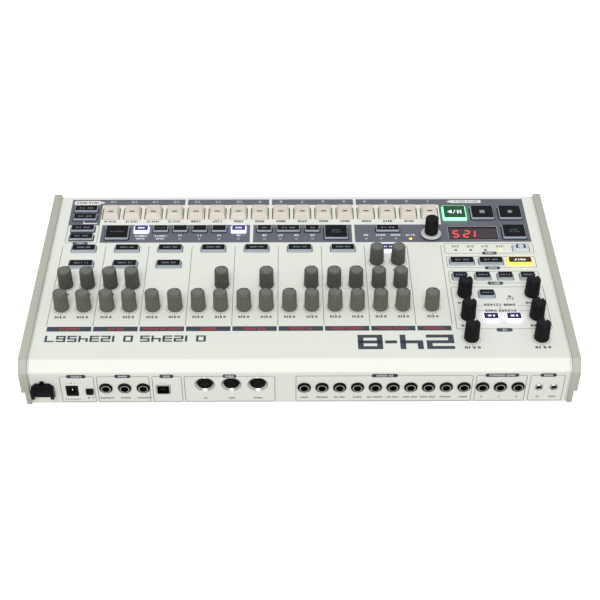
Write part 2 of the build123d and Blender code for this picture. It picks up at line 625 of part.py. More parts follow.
def display():
    """Display module on the control board, and its window sheet under the panel."""
    module = block(*WINDOW, board_top, -SHEET - WINDOW_SHEET)
    width, length = WINDOW[0] + 2 * WINDOW_MARGIN, WINDOW[1] + 2 * WINDOW_MARGIN
    return [module, block(width, length, -SHEET - WINDOW_SHEET, -SHEET)]


def jack():
    """Quarter-inch socket: body with its threaded sleeve, and the nut outside."""
    body = block(JACK_BODY, JACK_BODY, socket_back, -SHEET) + post(SLEEVE_RADIUS, -SHEET, SLEEVE_PROUD)
    body -= post(JACK_BORE, SLEEVE_PROUD - JACK_REACH, SLEEVE_PROUD)
    nut = post(NUT_RADIUS, 0, NUT_HEIGHT) - post(SLEEVE_RADIUS + NUT_PLAY, 0, NUT_HEIGHT)
    return [body, nut]


def mini_jack():
    """3.5 mm socket with its ring nut."""
    body = block(MINI_BODY, MINI_BODY, socket_back, -SHEET) + post(MINI_SLEEVE, -SHEET, MINI_PROUD)
    body -= post(MINI_BORE, MINI_PROUD - MINI_REACH, MINI_PROUD)
    ring = post(MINI_RING, 0, MINI_RING_HEIGHT) - post(MINI_SLEEVE + NUT_PLAY, 0, MINI_RING_HEIGHT)
    return [body, ring]


def din_socket():
    """Five-pin socket: body with its core and pin holes, and the metal shell around it."""
    floor = -SHEET - DIN_GROOVE
    body = block(DIN_BODY, DIN_BODY, socket_back, -SHEET)
    body -= post(DIN_RADIUS + NUT_PLAY, floor, 0)
    body += post(DIN_CORE, floor, -DIN_RECESS)
    pin_hole = Pos(DIN_PIN_CIRCLE, 0, 0) * post(DIN_PIN_RADIUS, floor, 0)
    body -= [Rot(Z=n * DIN_PIN_STEP) * pin_hole for n in range(DIN_PINS)]
    return [body, post(DIN_RADIUS, floor, 0) - post(DIN_RADIUS - DIN_SHELL, floor, 0)]


def usb_socket():
    """Square data socket with its tongue."""
    width, height = USB_SIZE
    body = block(width, height, socket_back, SOCKET_PROUD)
    body -= block(width - 2 * USB_WALL, height - 2 * USB_WALL, SOCKET_PROUD - USB_POCKET, SOCKET_PROUD)
    floor = SOCKET_PROUD - USB_POCKET
    return body + block(*USB_TONGUE, floor, floor + USB_TONGUE_LENGTH)


def dc_socket():
    """Power inlet with its centre pin."""
    floor = SOCKET_PROUD - DC_DEPTH
    body = block(*DC_SIZE, socket_back, SOCKET_PROUD) - post(DC_BORE, floor, SOCKET_PROUD)
    return body + post(DC_PIN, floor, SOCKET_PROUD - SHEET)


def power_switch():
    """Housing of the power switch, with the pocket that its button slides in."""
    pocket = -SHEET - POWER_SINK - POWER_TRAVEL - STEM_END_GAP
    width, height = POWER_SIZE[0] + 2 * POWER_GAP, POWER_SIZE[1] + 2 * POWER_GAP
    return block(*POWER_BODY, socket_back, -SHEET) - block(width, height, pocket, 0)


def power_button():
    """Push button of the power switch."""
    return block(*POWER_SIZE, -SHEET - POWER_SINK, POWER_PROUD)


def jack_board():
    """Upright circuit board behind the rear sockets."""
    left, right = mini_x[0] - MINI_BODY / 2, dc_x + DC_SIZE[0] / 2
    low, high = JACK_HEIGHT - JACK_BODY / 2, DIN_HEIGHT + DIN_BODY / 2
    width = right - left + 2 * BOARD_EDGE
    board = block(width, high - low, socket_back - BOARD, socket_back)
    return on_rear(middle([left, right]), middle([low, high])) * board


def cable_hook():
    """Hook that takes the strain off the power lead."""
    mid = HOOK_BASE + HOOK_TALL / 2
    outline = Rectangle(HOOK_WIDTH, HOOK_TALL)
    outline = chamfer(outline.vertices().group_by(Axis.Y)[-1], HOOK_SHOULDER)
    nub_width, nub_height = HOOK_NUB
    nub = Pos(0, HOOK_TALL / 2 + nub_height / 2) * RectangleRounded(nub_width, nub_height, nub_width / 4)
    frame = extrude(outline, HOOK_REACH)
    slot = Pos(0, -HOOK_BRIDGE, 0) * block(HOOK_WIDTH - 2 * HOOK_ARM, HOOK_TALL, HOOK_PLATE, 2 * HOOK_REACH)
    skirt = Pos(0, -(HOOK_TALL + HOOK_SKIRT) / 2, 0) * block(HOOK_WIDTH, HOOK_SKIRT, 0, HOOK_PLATE)
    return on_rear(hook_x, mid) * (frame - slot + skirt + extrude(nub, HOOK_PLATE))


def foot():
    """Rubber foot under the tray."""
    return Pos(0, 0, FOOT_HEIGHT / 2) * Cone(FOOT_RADIUS - FOOT_TAPER, FOOT_RADIUS, FOOT_HEIGHT)


def spread(piece, places):
    """Copies of one solid or of a list of solids at places on the panel."""
    solids = piece if isinstance(piece, list) else [piece]
    return [on_panel(x, v) * solid for x, v in places for solid in solids]


def along_rear(piece, xs, z):
    """Copies of one solid or of a list of solids along the rear wall."""
    solids = piece if isinstance(piece, list) else [piece]
    return [on_rear(x, z) * solid for x in xs for solid in solids]


# ---- Fixed sub-parts ----
foot_x, foot_front, foot_rear = tray_half - FOOT_INSET, cover_front_y + FOOT_INSET, rear_y - FOOT_INSET
cheek = right_cheek()
nodes = {
    "top_cover": [top_cover()],
    "bottom_tray": [bottom_tray()],
    "right_cheek": [cheek],
    "left_cheek": [mirror(cheek, about=Plane.YZ)],
    "rubber_feet": [Pos(x, y, 0) * foot() for x in (-foot_x, foot_x) for y in (foot_front, foot_rear)],
    "control_board": [control_board()],
    "board_spacers": spread(spacer(), spacers),
    "case_screws": case_screws(),
    "potentiometers": (spread(potentiometer(POT_BODY), all_knobs)
                       + spread(potentiometer(DIAL_BODY), dial_places)),
    "key_switches": spread(switch(), all_keys),
    "status_lights": spread(post(LIGHT_RADIUS, board_top, LIGHT_PROUD), lights),
    "display": spread(display(), [(window_x, window_v)]),
    "jack_board": [jack_board()],
    "audio_jacks": along_rear(jack(), jack_x, JACK_HEIGHT) + along_rear(mini_jack(), mini_x, JACK_HEIGHT),
    "rear_sockets": along_rear(din_socket(), din_x, DIN_HEIGHT) + [
        on_rear(usb_x, USB_HEIGHT) * usb_socket(), on_rear(dc_x, DC_HEIGHT) * dc_socket(),
        on_rear(power_x, POWER_HEIGHT) * power_switch()],
    "cable_hook": [cable_hook()],
}

# ---- Moving sub-parts ----
nodes["power_button"] = [on_rear(power_x, POWER_HEIGHT) * power_button()]
nodes["tempo_dial"] = spread(tempo_dial(), dial_places)
for name, bank in key_banks.items():
    nodes[name] = [solid for size, places in bank for solid in spread(key(size), places)]
for name, places in voice_knobs.items():
    for number, place in enumerate(places, start=1):
        nodes[f"{name}_{number}"] = spread(knob(KNOB_BASE, KNOB_TOP, KNOB_HEIGHT), [place])
for number, place in enumerate(output_places, start=1):
    nodes[f"output_knob_{number}"] = spread(knob(OUTPUT_BASE, OUTPUT_TOP, OUTPUT_HEIGHT), [place])

os.makedirs("parts", exist_ok=True)
for name, solids in nodes.items():
    export_step(Compound(children=solids), f"parts/{name}.step")
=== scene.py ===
import json
import math

import bmesh
import bpy
import numpy as np
from mathutils import Matrix, Vector
from mathutils.geometry import tessellate_polygon


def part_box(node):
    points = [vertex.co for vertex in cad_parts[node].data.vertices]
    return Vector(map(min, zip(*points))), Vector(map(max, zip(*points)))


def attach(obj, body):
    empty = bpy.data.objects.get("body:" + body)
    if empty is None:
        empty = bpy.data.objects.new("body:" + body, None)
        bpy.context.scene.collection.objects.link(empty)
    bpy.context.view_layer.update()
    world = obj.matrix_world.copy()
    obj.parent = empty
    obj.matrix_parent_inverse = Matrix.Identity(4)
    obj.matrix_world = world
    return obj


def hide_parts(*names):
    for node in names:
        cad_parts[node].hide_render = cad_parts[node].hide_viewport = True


# Looks of a desktop drum machine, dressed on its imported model. Shapes are written in
# millimetres in two local frames: the control panel's (across, up the slope, above the
# surface) and the rear wall's (across as seen from behind, above the base, out of the wall).
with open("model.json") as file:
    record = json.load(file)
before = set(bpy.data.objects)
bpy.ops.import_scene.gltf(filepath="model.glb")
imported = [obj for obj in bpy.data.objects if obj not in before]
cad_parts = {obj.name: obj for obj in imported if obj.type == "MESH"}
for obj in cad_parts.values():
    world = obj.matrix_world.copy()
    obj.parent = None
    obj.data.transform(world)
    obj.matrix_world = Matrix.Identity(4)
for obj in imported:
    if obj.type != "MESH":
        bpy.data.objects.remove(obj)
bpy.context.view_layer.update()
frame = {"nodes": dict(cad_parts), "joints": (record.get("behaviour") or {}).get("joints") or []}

MM = 0.001
WELD = 1e-6  # metres
CREASE = math.radians(40)  # sharper edges stay hard in the shading
EASED = math.radians(30)  # sharper edges of a moulding are rounded off
COPLANAR = math.radians(1)

# ---- Sizes of the keys ----
KEY_LIP = 1.1  # retaining lip around the sunk part
KEY_LIP_TOP = -1.55
KEY_TAPER = (1.2, 1.0)  # base less top
OPTION_TAPER = (1.8, 1.8)
STEP_TAPER = (3.2, 3.5)
STEP_FORWARD = 0.75  # crown of a step key in front of its foot's middle
KEY_CORNER = 1.2
KEY_FOOT = 0.34  # share of a skirt's height in its foot band, with painted light on the pale paint and painted shade on the slate
KEY_ROUND = 0.25  # rounded upper edge
KEY_BREAK = 0.08  # its middle point
INLAY_RIM = 0.4
INLAY_STEP = 0.15
STEP_ROUND = (0.4, 0.7)  # rounded upper edge, in and down
STEP_BREAK = (0.08, 0.2)  # its middle point
STEP_WINDOW = (5.3, 1.7)
STEP_WINDOW_REAR = 2.6
STEP_WINDOW_CORNER = 0.3
STEP_WINDOW_DEPTH = 0.5
STEP_SIDE_GAP = 0.8
KEY_GAP = 0.7  # key to the edge of its hole

# ---- Keys that stand out, by their places on the panel ----
LIT_VOICE = (-85, 88)
LIT_MODE = (-213.8, 109)
FILTER_KEYS = ((-197, 193), (-176, 193))
LIT_FUNCTIONS = ((156, 57), (59, 57))
WIND_KEYS = ((34, 57), (-14, 57))
WORDS_FROM = 130  # slate keys further to the player's right than this carry numerals

# ---- Numerals and signs on the keys: width and height ----
LONG_LEGEND = (13.5, 1.9)
SHORT_LEGEND = (9.0, 1.9)
TRACK_LEGEND = (13.5, 2.0)
UPPER_LEGEND, LOWER_LEGEND = (10.5, 2.0), (8.0, 2.0)
LEGEND_LINE = 1.7  # each of two lines from the key's middle
LIT_MODE_LEGEND = (11.5, 2.3)
FILTER_LEGEND = (6.5, 2.4)
LIT_LEGEND = (6.5, 2.0)
OPTION_LEGEND = (9.2, 4.2)
PAUSE_BARS = ((-7.0, -5.6), (-4.2, -2.8))
PLAY_HALF = 2.8  # half the height of the signs on the play key
PLAY_SLASH = ((-1.3, -PLAY_HALF), (-0.6, -PLAY_HALF), (1.5, PLAY_HALF), (0.8, PLAY_HALF))
PLAY_SHIFT, PLAY_ARROW = 5.0, (4.6, 5.8)
STOP_HALF = 2.6
RECORD_RADIUS = 2.45
WIND_SHIFT, WIND_ARROW = 1.2, 2.2

# ---- Knobs and dial: profiles hold radius, height and the depth of the flutes ----
KNOB_RANGE = 300.0
POINTER_ANGLE = 240.0  # pointer at its lowest setting, from the panel's right
KNOB_BASE = 13.8
KNOB_TOP, KNOB_HEIGHT = 13.0, 19.4
OUTPUT_TOP, OUTPUT_HEIGHT = 13.2, 19.0
FLUTES = 28
KNOB_SIDES = 6 * FLUTES
FLUTE_DEPTH = 0.45
KNOB_FOOT = ((-0.35, 0.8), (0, 1.1, FLUTE_DEPTH))
KNOB_SHOULDER = ((0.02, -0.9, FLUTE_DEPTH), (-0.1, -0.4, 0.05))
KNOB_CROWN = ((-0.35, -0.12), (-0.6, 0), (-0.68, -0.3), (-0.95, -0.3), (-1.05, 0))
POINTER_RISE = 0.06  # pointer above the crown
POINTER_ENDS = (-2.6, -0.35)
POINTER_HALF = 0.65
POINTER_EDGE = ((-0.35, -0.02), (0.04, -0.3), (0.08, -1.6))
REAR_ROW = 170  # the rear row of grey knobs stands beyond this line
DIAL_FLUTES = 48
DIAL_SIDES = 4 * DIAL_FLUTES
DIAL_RING = ((9.9, 0.8), (10.25, 1.1, 0.35), (10.25, 2.2, 0.35), (9.0, 3.5, 0.3), (8.6, 3.6), (6.0, 3.6))
DIAL_GRIP = ((6.45, 3.6), (6.6, 3.9, 0.22), (6.5, 19.9, 0.22), (6.2, 20.6), (5.8, 20.95), (5.4, 21.0),
             (5.0, 20.8))

# ---- Print on the panel ----
INK = 0.04  # print's height above the paint
OVERPRINT = 0.07  # second layer of print
FINE = 0.03  # numerals above what they stand on
UPRIGHT_RISE = 0.01  # uprights of a block numeral above its level bars
LINE = 0.55  # width of printed lines
FRAME_CORNER = 1.6
TAG_CORNER, TAG_WORDS = 0.3, 0.55  # shares of a tag's height
CAPITALS, STRETCH = 0.73, 1.2  # of the built-in letters: height, and width where none is given
THIN, MEDIUM, BOLD = 0.03, 0.04, 0.05  # weights of the letters
SMALL, MIDDLE, LARGE = 2.4, 2.8, 3.0  # heights of the words on the panel
GROUP_GAP = 2.8  # bare paint between groups of steps
FIELD_FRONT, FIELD_STRIP, FIELD_BREAK, FIELD_REAR = 5.8, 15.5, 49.3, 78.2
FIELD_HALF = 229.6  # colour fields from the middle of the panel
TRANSPORT_EDGE = -143  # transport keys' field towards the steps
STACK_EDGE = 198.2  # stacked keys' field towards the steps
DISPLAY_EDGE = -55.9  # display's field towards the middle fields
MIDDLE_FIELDS = ((195.3, 47.9), (44.7, -53.2))
LIGHT_HOLE, DIAL_HOLE = 1.6, 4.0
WINDOW_GAP, WINDOW_CORNER = 0.2, 0.3
STEP_NUMBERS, STEP_NUMBER = 10.0, 3.9  # line up the panel, height
STEP_WORDS = 43.5
STEP_WIDTH, LAST_STEP_WIDTH = 9.5, 12.0
LAST_STEPS = 12  # steps after this one carry longer words
# Words behind the two rightmost functions: words, line, height, width
TWO_LINES = (("148016", 67.5, MIDDLE, 12.0), ("2048", 71.9, SMALL, 8.5))
TICK_COUNT = 21
TICK_START, TICK_REACH, TICK_LONG = 7.1, 8.9, 10.2
TICK_HALF = 0.18
KNOB_WORDS = {"level": ("0 510", 10.4, 12.6), "decay": ("0 510", 10.4, 12.6), "tune": ("0 48", 8.6, 12.5),
              "output": ("0 5 10", 14.5, 11.8)}  # words, width, shift to the rear
# Pills that point at the rows beside them: corners, words, width, place, size and way of the arrow
PILLS = (((227.5, 200.5, 8.0, 15.0), "0016 0024", 22.0, (197.9, 11.2), 4.3, -1),
         ((-156.5, -187.0, 7.8, 12.7), "0016 0012", 25.0, (-154.0, 10.2), 4.6, 1))
# White line with a bend beside the stacked keys
BENT_LINE = ((200.8, 215.0, 45.8, 47.2), (213.6, 215.0, 43.4, 45.8))
# Frames with a tag on the rear line: corners, corners of the tag, words
FRAMES = (((198.0, 229.5, 49.0, 78.7), (206.6, 221.6, 77.1, 81.3), "1002"),
          ((-229.9, -142.4, 80.6, 96.7), (-193.0, -178.8, 93.9, 98.6), "1004"),
          ((-229.3, -142.9, 101.5, 118.7), (-193.5, -178.8, 117.0, 121.7), "5007"),
          ((-229.3, -142.9, 124.3, 142.5), (-193.5, -178.8, 140.2, 144.9), "8011"),
          ((-230.4, -142.9, 148.0, 208.6), (-193.6, -179.0, 207.3, 212.2), "12"))
# Arrows beside the stacked keys: lines, corners
STACK_ARROWS, STACK_ARROW = (62.6, 75.4), ((212.8, -1), (215.6, -1), (214.2, 1))
FILTER_MIDDLE = -186.2
FILTER_WORDS = ((174.5, 175.5, "0408 121620"), (182.9, 182.5, "010203 0405"))  # line, line of the bars
FILTER_LETTER, FILTER_WIDTH = 3.2, 29.5
FILTER_BARS, FILTER_BAR_HALF = ((-165, -170), (-203, -216)), 0.2
FILTER_DIAMOND = ((-0.9, 178.7), (0, 177.8), (0.9, 178.7), (0, 179.6))
COLUMN_SIDE = 10.7  # dividing line from the knob beside it
LAST_LINE = -139.2  # dividing line furthest to the player's left
COLUMN_FRONT, COLUMN_GAP = 84, 1.2  # front end of the lines, and gap to the header bars
HEADER_FRONT, HEADER_REAR = 203.8, 210.3
HEADER_GAPS = (0.9, 0.8)  # header bar from the lines on both sides
HEADER_LETTER = 3.1
HEADER_WORDS = (("080016", 19), ("07 07", 15.4), ("0600 60 06006", 35), ("05005", 15), ("04 040", 19.5),
                ("03 0030", 21.3), ("02002 0020", 30), ("0100 0101", 27), ("000000", 19))
# Plain numbers where a machine carries its title: a row of digits, then signs with place and width
TITLE_LINE, TITLE_PITCH = 220.4, 10.1
TITLE_ROWS = ((88.9, 6), (154.5, 8))  # first numeral, count
TITLE_SIZE, TITLE_STROKES = (8.6, 8.5), (2.0, 1.7)
NUMBER_LINE = 225.8
NUMBER_SIGNS = (("2", -126.5, 25.0), ("4", -100.6, 20.8), ("-", -82.1, 10.8), ("8", -63.4, 22.5))
NUMBER_LENGTH, NUMBER_STROKES = 19.5, (5.2, 4.1)

# ---- Lights and display ----
LENS_SIDES = 16
LENS_PROFILE = ((1.1, -12), (1.1, -0.1), (0.9, 0.12), (0.5, 0.2))
OPTION_REAR = 95  # lights beyond this line belong to the filter
TEMPO_SIDE, WIND_SIDE = -75, 50  # lights further to the player's left carry longer words
TEMPO_LIGHT_WIDTH, WIND_LIGHT_WIDTH, LAST_LIGHT_WIDTH, OPTION_WIDTH = 9.5, 4.7, 3.6, 7.0
FIELD_LIGHT_SHIFT, OPTION_SHIFT, FILTER_SHIFT = 6.0, 5.4, 3.4
TEMPO_LIGHTS = ((-115, -60), (0, 80))  # across and up the panel
OPTION_LIGHTS = ((-230, -140), (80, 100))
DIGIT = (5.0, 10.4)
DIGIT_PITCH = 10.7
DIGIT_FIRST = -188.5
DIGIT_SHIFT = -0.2  # from the window's middle line
DIGIT_LEAN = 0.1
SEGMENT_HALF, SEGMENT_GAP = 0.75, 0.25
DISPLAY_TEXT = " 125"
GLASS_SHADE = 3.6  # shaded strip at the window's rear edge
GLASS_RISES = (0.02, 0.03, 0.05)  # strip, gasket and digits above the glass
GASKET_GAP, GASKET_TOP = 0.05, -0.02

# ---- Rear wall: profiles hold radius and height out of the wall ----
WALL = -1.2  # inner face of the wall
BACK = -22.2  # back of the bodies behind it
PROUD = 0.4  # housings through the wall
NUT_BACK = -0.5  # only the jacks' nuts start in front of this
JACK_SIDES, MINI_SIDES, SHELL_SIDES, PIN_SIDES, POWER_SIDES = 40, 32, 48, 12, 16
JACK_WIDTH = 10  # nuts of the quarter-inch jacks are wider than this
JACK_BODY, JACK_BORE, JACK_FLOOR = 13.4, 3.25, -18.6
JACK_SLEEVE = ((4.5, WALL), (4.5, 1.7), (4.25, 1.95), (3.6, 1.95), (JACK_BORE, 1.6), (JACK_BORE, WALL))
JACK_NUT = ((6.0, 0), (6.0, 1.0), (5.6, 1.35), (4.6, 1.35))
MINI_BODY, MINI_BORE, MINI_FLOOR = 9, 1.8, -13.4
MINI_SLEEVE = ((3.0, WALL), (3.0, 1.35), (2.75, 1.6), (2.05, 1.6), (MINI_BORE, 1.35), (MINI_BORE, WALL))
MINI_NUT = ((3.9, 0), (3.9, 0.9), (3.6, 1.2), (3.05, 1.2))
SHELL_BACK = -12  # only the five-pin shells start in front of this
SHELL_BODY, SHELL_HOLE, SHELL_FLOOR = 19.6, 8.85, -9.2
SHELL = ((8.8, SHELL_FLOOR), (8.8, -0.2), (8.6, 0), (8.4, 0), (7.0, -1.45), (7.0, SHELL_FLOOR))
INSERT_RADIUS, INSERT_FACE = 6.4, -1.2
INSERT = ((6.95, SHELL_FLOOR), (6.95, -1.5), (INSERT_RADIUS, INSERT_FACE))
PIN_COUNT, PIN_STEP = 5, math.radians(45)
PIN_CIRCLE, PIN_RADIUS, PIN_FLOOR = 4.45, 0.8, -8
BLOCK_WIDTH = 19  # the other bodies are narrower than this
DATA_WIDTH = 12  # and the data socket is wider than this
DATA_BODY, DATA_HOLE, DATA_TONGUE = (12.6, 12.0, 0.8), (10.8, 10.2, 1.2), (5.6, 3.2, 0.2)
DATA_FLOOR, TONGUE_END = -8.6, -0.4
POWER_BODY, POWER_BORE, POWER_FLOOR = (10.6, 13.0, 0.8), 3.1, -9.1
POWER_PIN = ((1.0, POWER_FLOOR), (1.0, -1.2), (0.7, -0.8))
SWITCH_BODY, SWITCH_HOLE = (10, 10), (7.0, 6.4)
# Frames: from, to, words and width of the tag, words and widths under the jacks
REAR_FRAMES = (
    (-213.8, -183.3, "05001", 17, ()),
    (-180.9, -133.9, "0400", 14, (("060050", 12.3), ("0400", 9.2), ("060006", 12.2))),
    (-131.7, -105.2, "030", 12.2, ()),
    (-103.2, -22.1, "0400", 12, ()),
    (-3.8, 154.3, "05000 03", 23.2, (
        ("0400", 7), ("05000", 10.8), ("06 006", 9.8), ("0400", 7.9), ("03 04000", 14.3),
        ("02 003", 10.3), ("030 003", 12.9), ("030 003", 13.8), ("05000", 10.1), ("0400", 7.9))),
    (157, 202.5, "0700000 0500", 29.7, (("1", 1.2), ("2", 1.6), ("3", 1.6))),
    (205.4, 236.4, "0400", 14.3, (("02", 3), ("030", 6.6))),
)
REAR_FRAME_LINES, REAR_TAG_LINES = (0.8, 34.6), (32.4, 36.8)
JACK_LINE, JACK_LETTER = 6.2, 2.0
SHELL_WORDS, SHELL_LINE = (("02", 3), ("030", 5.8), ("0400", 8.3)), 5.6
SIGN_LINE, SIGN_HEIGHT = 26.2, 2.3
SWITCH_LINE = 6.4
POWER_WORDS, POWER_LINE, POWER_LETTER = ("12.34567", 14), 4.6, 1.4

# ---- Picture: the camera is fitted to the photograph ----
LENS, SENSOR = 80.301, 36
EYE_PLACE = (0.01112, 0.92661, 0.91838)
EYE_TURN = (45.6476, -0.2661, 179.4975)  # degrees
ROOM_SEEN, ROOM_LIGHT = 1.05, 0.57  # strength to the camera and on the machine
ROOM_SHADE = (0.96, 0.98, 1, 1)
SUN_STRENGTH, SUN_WIDTH, SUN_TURN = 1.8, 30, (-34, 4, 0)  # angles in degrees
FLOOR_HALF = 6  # metres
FLOOR_SHADE, FLOOR_GLOW = 0.6, 0.8
WHITE = (1, 1, 1, 1)


def frame_matrix(across, up, out, origin):
    """Local millimetre frame as a matrix into the row's frame, in metres."""
    matrix = Matrix.Identity(4)
    for n, column in enumerate((across, up, out)):
        matrix.col[n] = (*(Vector(column) * MM), 0)
    matrix.col[3] = (*origin, 1)
    return matrix


joints = {joint["child"]: joint for joint in frame["joints"]}
cover_low, cover_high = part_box("top_cover")
tray_low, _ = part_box("bottom_tray")
panel_normal = Vector(joints["tempo_dial"]["axis"])
uphill = Vector((0, panel_normal.z, -panel_normal.y))
dial_point = Vector(joints["tempo_dial"]["pos_m"])
front_z = dial_point.z - (dial_point.y - cover_low.y) * uphill.z / uphill.y
PANEL = frame_matrix((1, 0, 0), uphill, panel_normal, (0, cover_low.y, front_z))
REAR = frame_matrix((-1, 0, 0), (0, 0, 1), (0, 1, 0), (0, cover_high.y, tray_low.z))


# ---- Materials ----
MIX_COLOURS, MIXED = (6, 7), 2  # colour sockets of a mix node: its inputs and its result
COLOUR_DETAIL, RELIEF_DETAIL = 4, 3
GLOSS_SPREAD = 0.1


def srgb(red, green, blue):
    """Linear colour of a shade given as it is seen, 0 to 255."""
    def linear(value):
        value /= 255
        return value / 12.92 if value <= 0.04045 else ((value + 0.055) / 1.055) ** 2.4
    return (linear(red), linear(green), linear(blue), 1.0)


def noise(nodes, links, place, size, detail):
    """Factor of a noise whose grains have a size in mm."""
    node = nodes.new("ShaderNodeTexNoise")
    node.inputs["Scale"].default_value = 1 / (size * MM)
    node.inputs["Detail"].default_value = detail
    links.new(place, node.inputs["Vector"])
    return node.outputs["Fac"]


def surface(name, shade, roughness, grain=0.4, bump=0.05, drift=0.05, drift_size=30.0, knob=None, **sockets):
    """Surface whose colour drifts a little, with fine grain (mm) in its relief and its gloss.

    A knob's colour gets painted shade at the foot, where its neighbours stand, and in the grooves of its
    flutes.
    """
    material = bpy.data.materials.new(name)
    material.use_nodes = True
    nodes, links = material.node_tree.nodes, material.node_tree.links
    shader = nodes["Principled BSDF"]
    place = nodes.new("ShaderNodeTexCoord").outputs["Object"]

    colour = nodes.new("ShaderNodeMix")
    colour.data_type = "RGBA"
    for n, share in zip(MIX_COLOURS, (1 - drift, 1 + drift)):
        colour.inputs[n].default_value = (*(min(1, c * share) for c in srgb(*shade)[:3]), 1)
    links.new(noise(nodes, links, place, drift_size, COLOUR_DETAIL), colour.inputs["Factor"])
    links.new(colour.outputs[MIXED], shader.inputs["Base Color"])
    # painted shade of a knob: colour factors at its foot and in its grooves
    if knob:
        paint_knob_shade(material, place, colour.outputs[MIXED], *knob)

    fine = noise(nodes, links, place, grain, RELIEF_DETAIL)
    gloss = nodes.new("ShaderNodeMapRange")
    gloss.inputs["To Min"].default_value = roughness * (1 - GLOSS_SPREAD)
    gloss.inputs["To Max"].default_value = min(1, roughness * (1 + GLOSS_SPREAD))
    links.new(fine, gloss.inputs["Value"])
    links.new(gloss.outputs["Result"], shader.inputs["Roughness"])
    relief = nodes.new("ShaderNodeBump")
    relief.inputs["Strength"].default_value = bump
    relief.inputs["Distance"].default_value = grain * MM * 0.5
    links.new(fine, relief.inputs["Height"])
    links.new(relief.outputs["Normal"], shader.inputs["Normal"])
    for socket, value in sockets.items():
        shader.inputs[socket.replace("_", " ")].default_value = value
    return material


def paint_knob_shade(material, place, colour, foot, groove):
    """Painted shade: darken a knob's colour toward its foot, where its neighbours shade it, and along the
    grooves between its ribs.
    """
    nodes, links = material.node_tree.nodes, material.node_tree.links

    def maths(operation, *values):
        node = nodes.new("ShaderNodeMath")
        node.operation = operation
        for n, value in enumerate(values):
            if isinstance(value, float):
                node.inputs[n].default_value = value
            else:
                links.new(value, node.inputs[n])
        return node.outputs[0]

    split = nodes.new("ShaderNodeSeparateXYZ")
    links.new(place, split.inputs[0])
    turn = maths("MULTIPLY", maths("ARCTAN2", split.outputs["Y"], split.outputs["X"]), float(FLUTES))
    rib = maths("MULTIPLY_ADD", maths("COSINE", turn), (1 - groove) / 2, (1 + groove) / 2)
    fade = nodes.new("ShaderNodeMapRange")
    fade.inputs["From Max"].default_value = KNOB_HEIGHT * MM
    fade.inputs["To Min"].default_value = foot
    links.new(split.outputs["Z"], fade.inputs["Value"])
    shaded = nodes.new("ShaderNodeHueSaturation")
    links.new(maths("MULTIPLY", rib, fade.outputs["Result"]), shaded.inputs["Value"])
    links.new(colour, shaded.inputs["Color"])
    links.new(shaded.outputs["Color"], nodes["Principled BSDF"].inputs["Base Color"])


def ink(name, shade, **options):
    """Print of one colour."""
    return surface(name, shade, 0.45, bump=0.02, **options)


def knob_plastic(name, shade, roughness, bump, drift, **options):
    """Moulding with the fine grain and drift of a small part."""
    return surface(name, shade, roughness, grain=0.25, bump=bump, drift=drift, drift_size=6, **options)


def lit(name, shade, glow, strength):
    """A surface that also shines, in a shade of its own."""
    material = surface(name, shade, 0.4)
    shader = material.node_tree.nodes["Principled BSDF"]
    shader.inputs["Emission Color"].default_value = srgb(*glow)
    shader.inputs["Emission Strength"].default_value = strength
    return material


PAINT = surface("powder_coat", (233, 235, 225), 0.5, grain=0.5, bump=0.04, drift=0.012, drift_size=60,
                Specular_IOR_Level=0.3)
TRAY = surface("tray_paint", (228, 230, 220), 0.45, grain=0.5, drift=0.02)
CHEEK = surface("cheek_moulding", (184, 186, 171), 0.55, grain=0.35, bump=0.12, drift=0.02)
BEIGE = surface("step_key_moulding", (220, 211, 198), 0.42, grain=0.3, drift=0.03)
SLOT = surface("slot_shadow", (38, 26, 26), 0.4)
SKIRT = surface("frosted_skirt", (162, 172, 182), 0.3, grain=0.3, bump=0.03, drift=0.06, drift_size=8)
# foot bands of the skirts: painted light from the pale paint, painted shade on the slate
SKIRT_PAINTED_LIGHT = surface("frosted_skirt_painted_light", (188, 195, 200), 0.35, grain=0.3, bump=0.03)
SKIRT_PAINTED_SHADE = surface("frosted_skirt_painted_shade", (58, 62, 80), 0.4, grain=0.3, bump=0.03)
# lips in the gaps around keys: painted shade, paler on the pale paint
GAP_PAINTED_SHADE = surface("key_gap_painted_shade", (34, 36, 46), 0.6, Specular_IOR_Level=0.1)
PALE_GAP_PAINTED_SHADE = surface("pale_key_gap_painted_shade", (104, 106, 104), 0.6, Specular_IOR_Level=0.1)
INLAY = surface("key_inlay", (11, 12, 17), 0.35, grain=0.3, bump=0.03, Specular_IOR_Level=0.15)
PALE_CAP = surface("pale_key", (205, 212, 222), 0.4, grain=0.3, bump=0.04)
# knob=(foot, groove): painted shade at the knob's foot and in its flute grooves
GREY_KNOB = knob_plastic("grey_knob", (107, 111, 97), 0.48, 0.08, 0.06, knob=(0.95, 0.6))
# darker copy for the middle row: painted shade where the rear row of knobs would block the light
PAINTED_SHADE_GREY_KNOB = knob_plastic("grey_knob_painted_shade", (94, 98, 86), 0.48, 0.08, 0.06, knob=(0.5, 0.6))
GREY_TOP = knob_plastic("grey_knob_top", (107, 110, 100), 0.42, 0.06, 0.05)
DARK_MARK = surface("knob_mark", (38, 40, 38), 0.5)
BLACK_KNOB = knob_plastic("black_knob", (9, 9, 14), 0.42, 0.06, 0.08, knob=(0.8, 0.4),
                          Specular_IOR_Level=0.2)
BLACK_TOP = knob_plastic("black_knob_top", (18, 19, 22), 0.4, 0.06, 0.06, Specular_IOR_Level=0.2)
WHITE_MARK = surface("white_mark", (236, 236, 232), 0.4)
RING = surface("dial_ring", (196, 198, 196), 0.35, grain=0.3)
SLATE = ink("slate_ink", (101, 102, 112), drift=0.03)
HEADER = ink("header_ink", (62, 68, 80), drift=0.03)
DARK_INK = ink("dark_ink", (50, 52, 56))
GREY_INK = ink("grey_ink", (124, 127, 125))
REAR_INK = ink("rear_ink", (122, 118, 112))
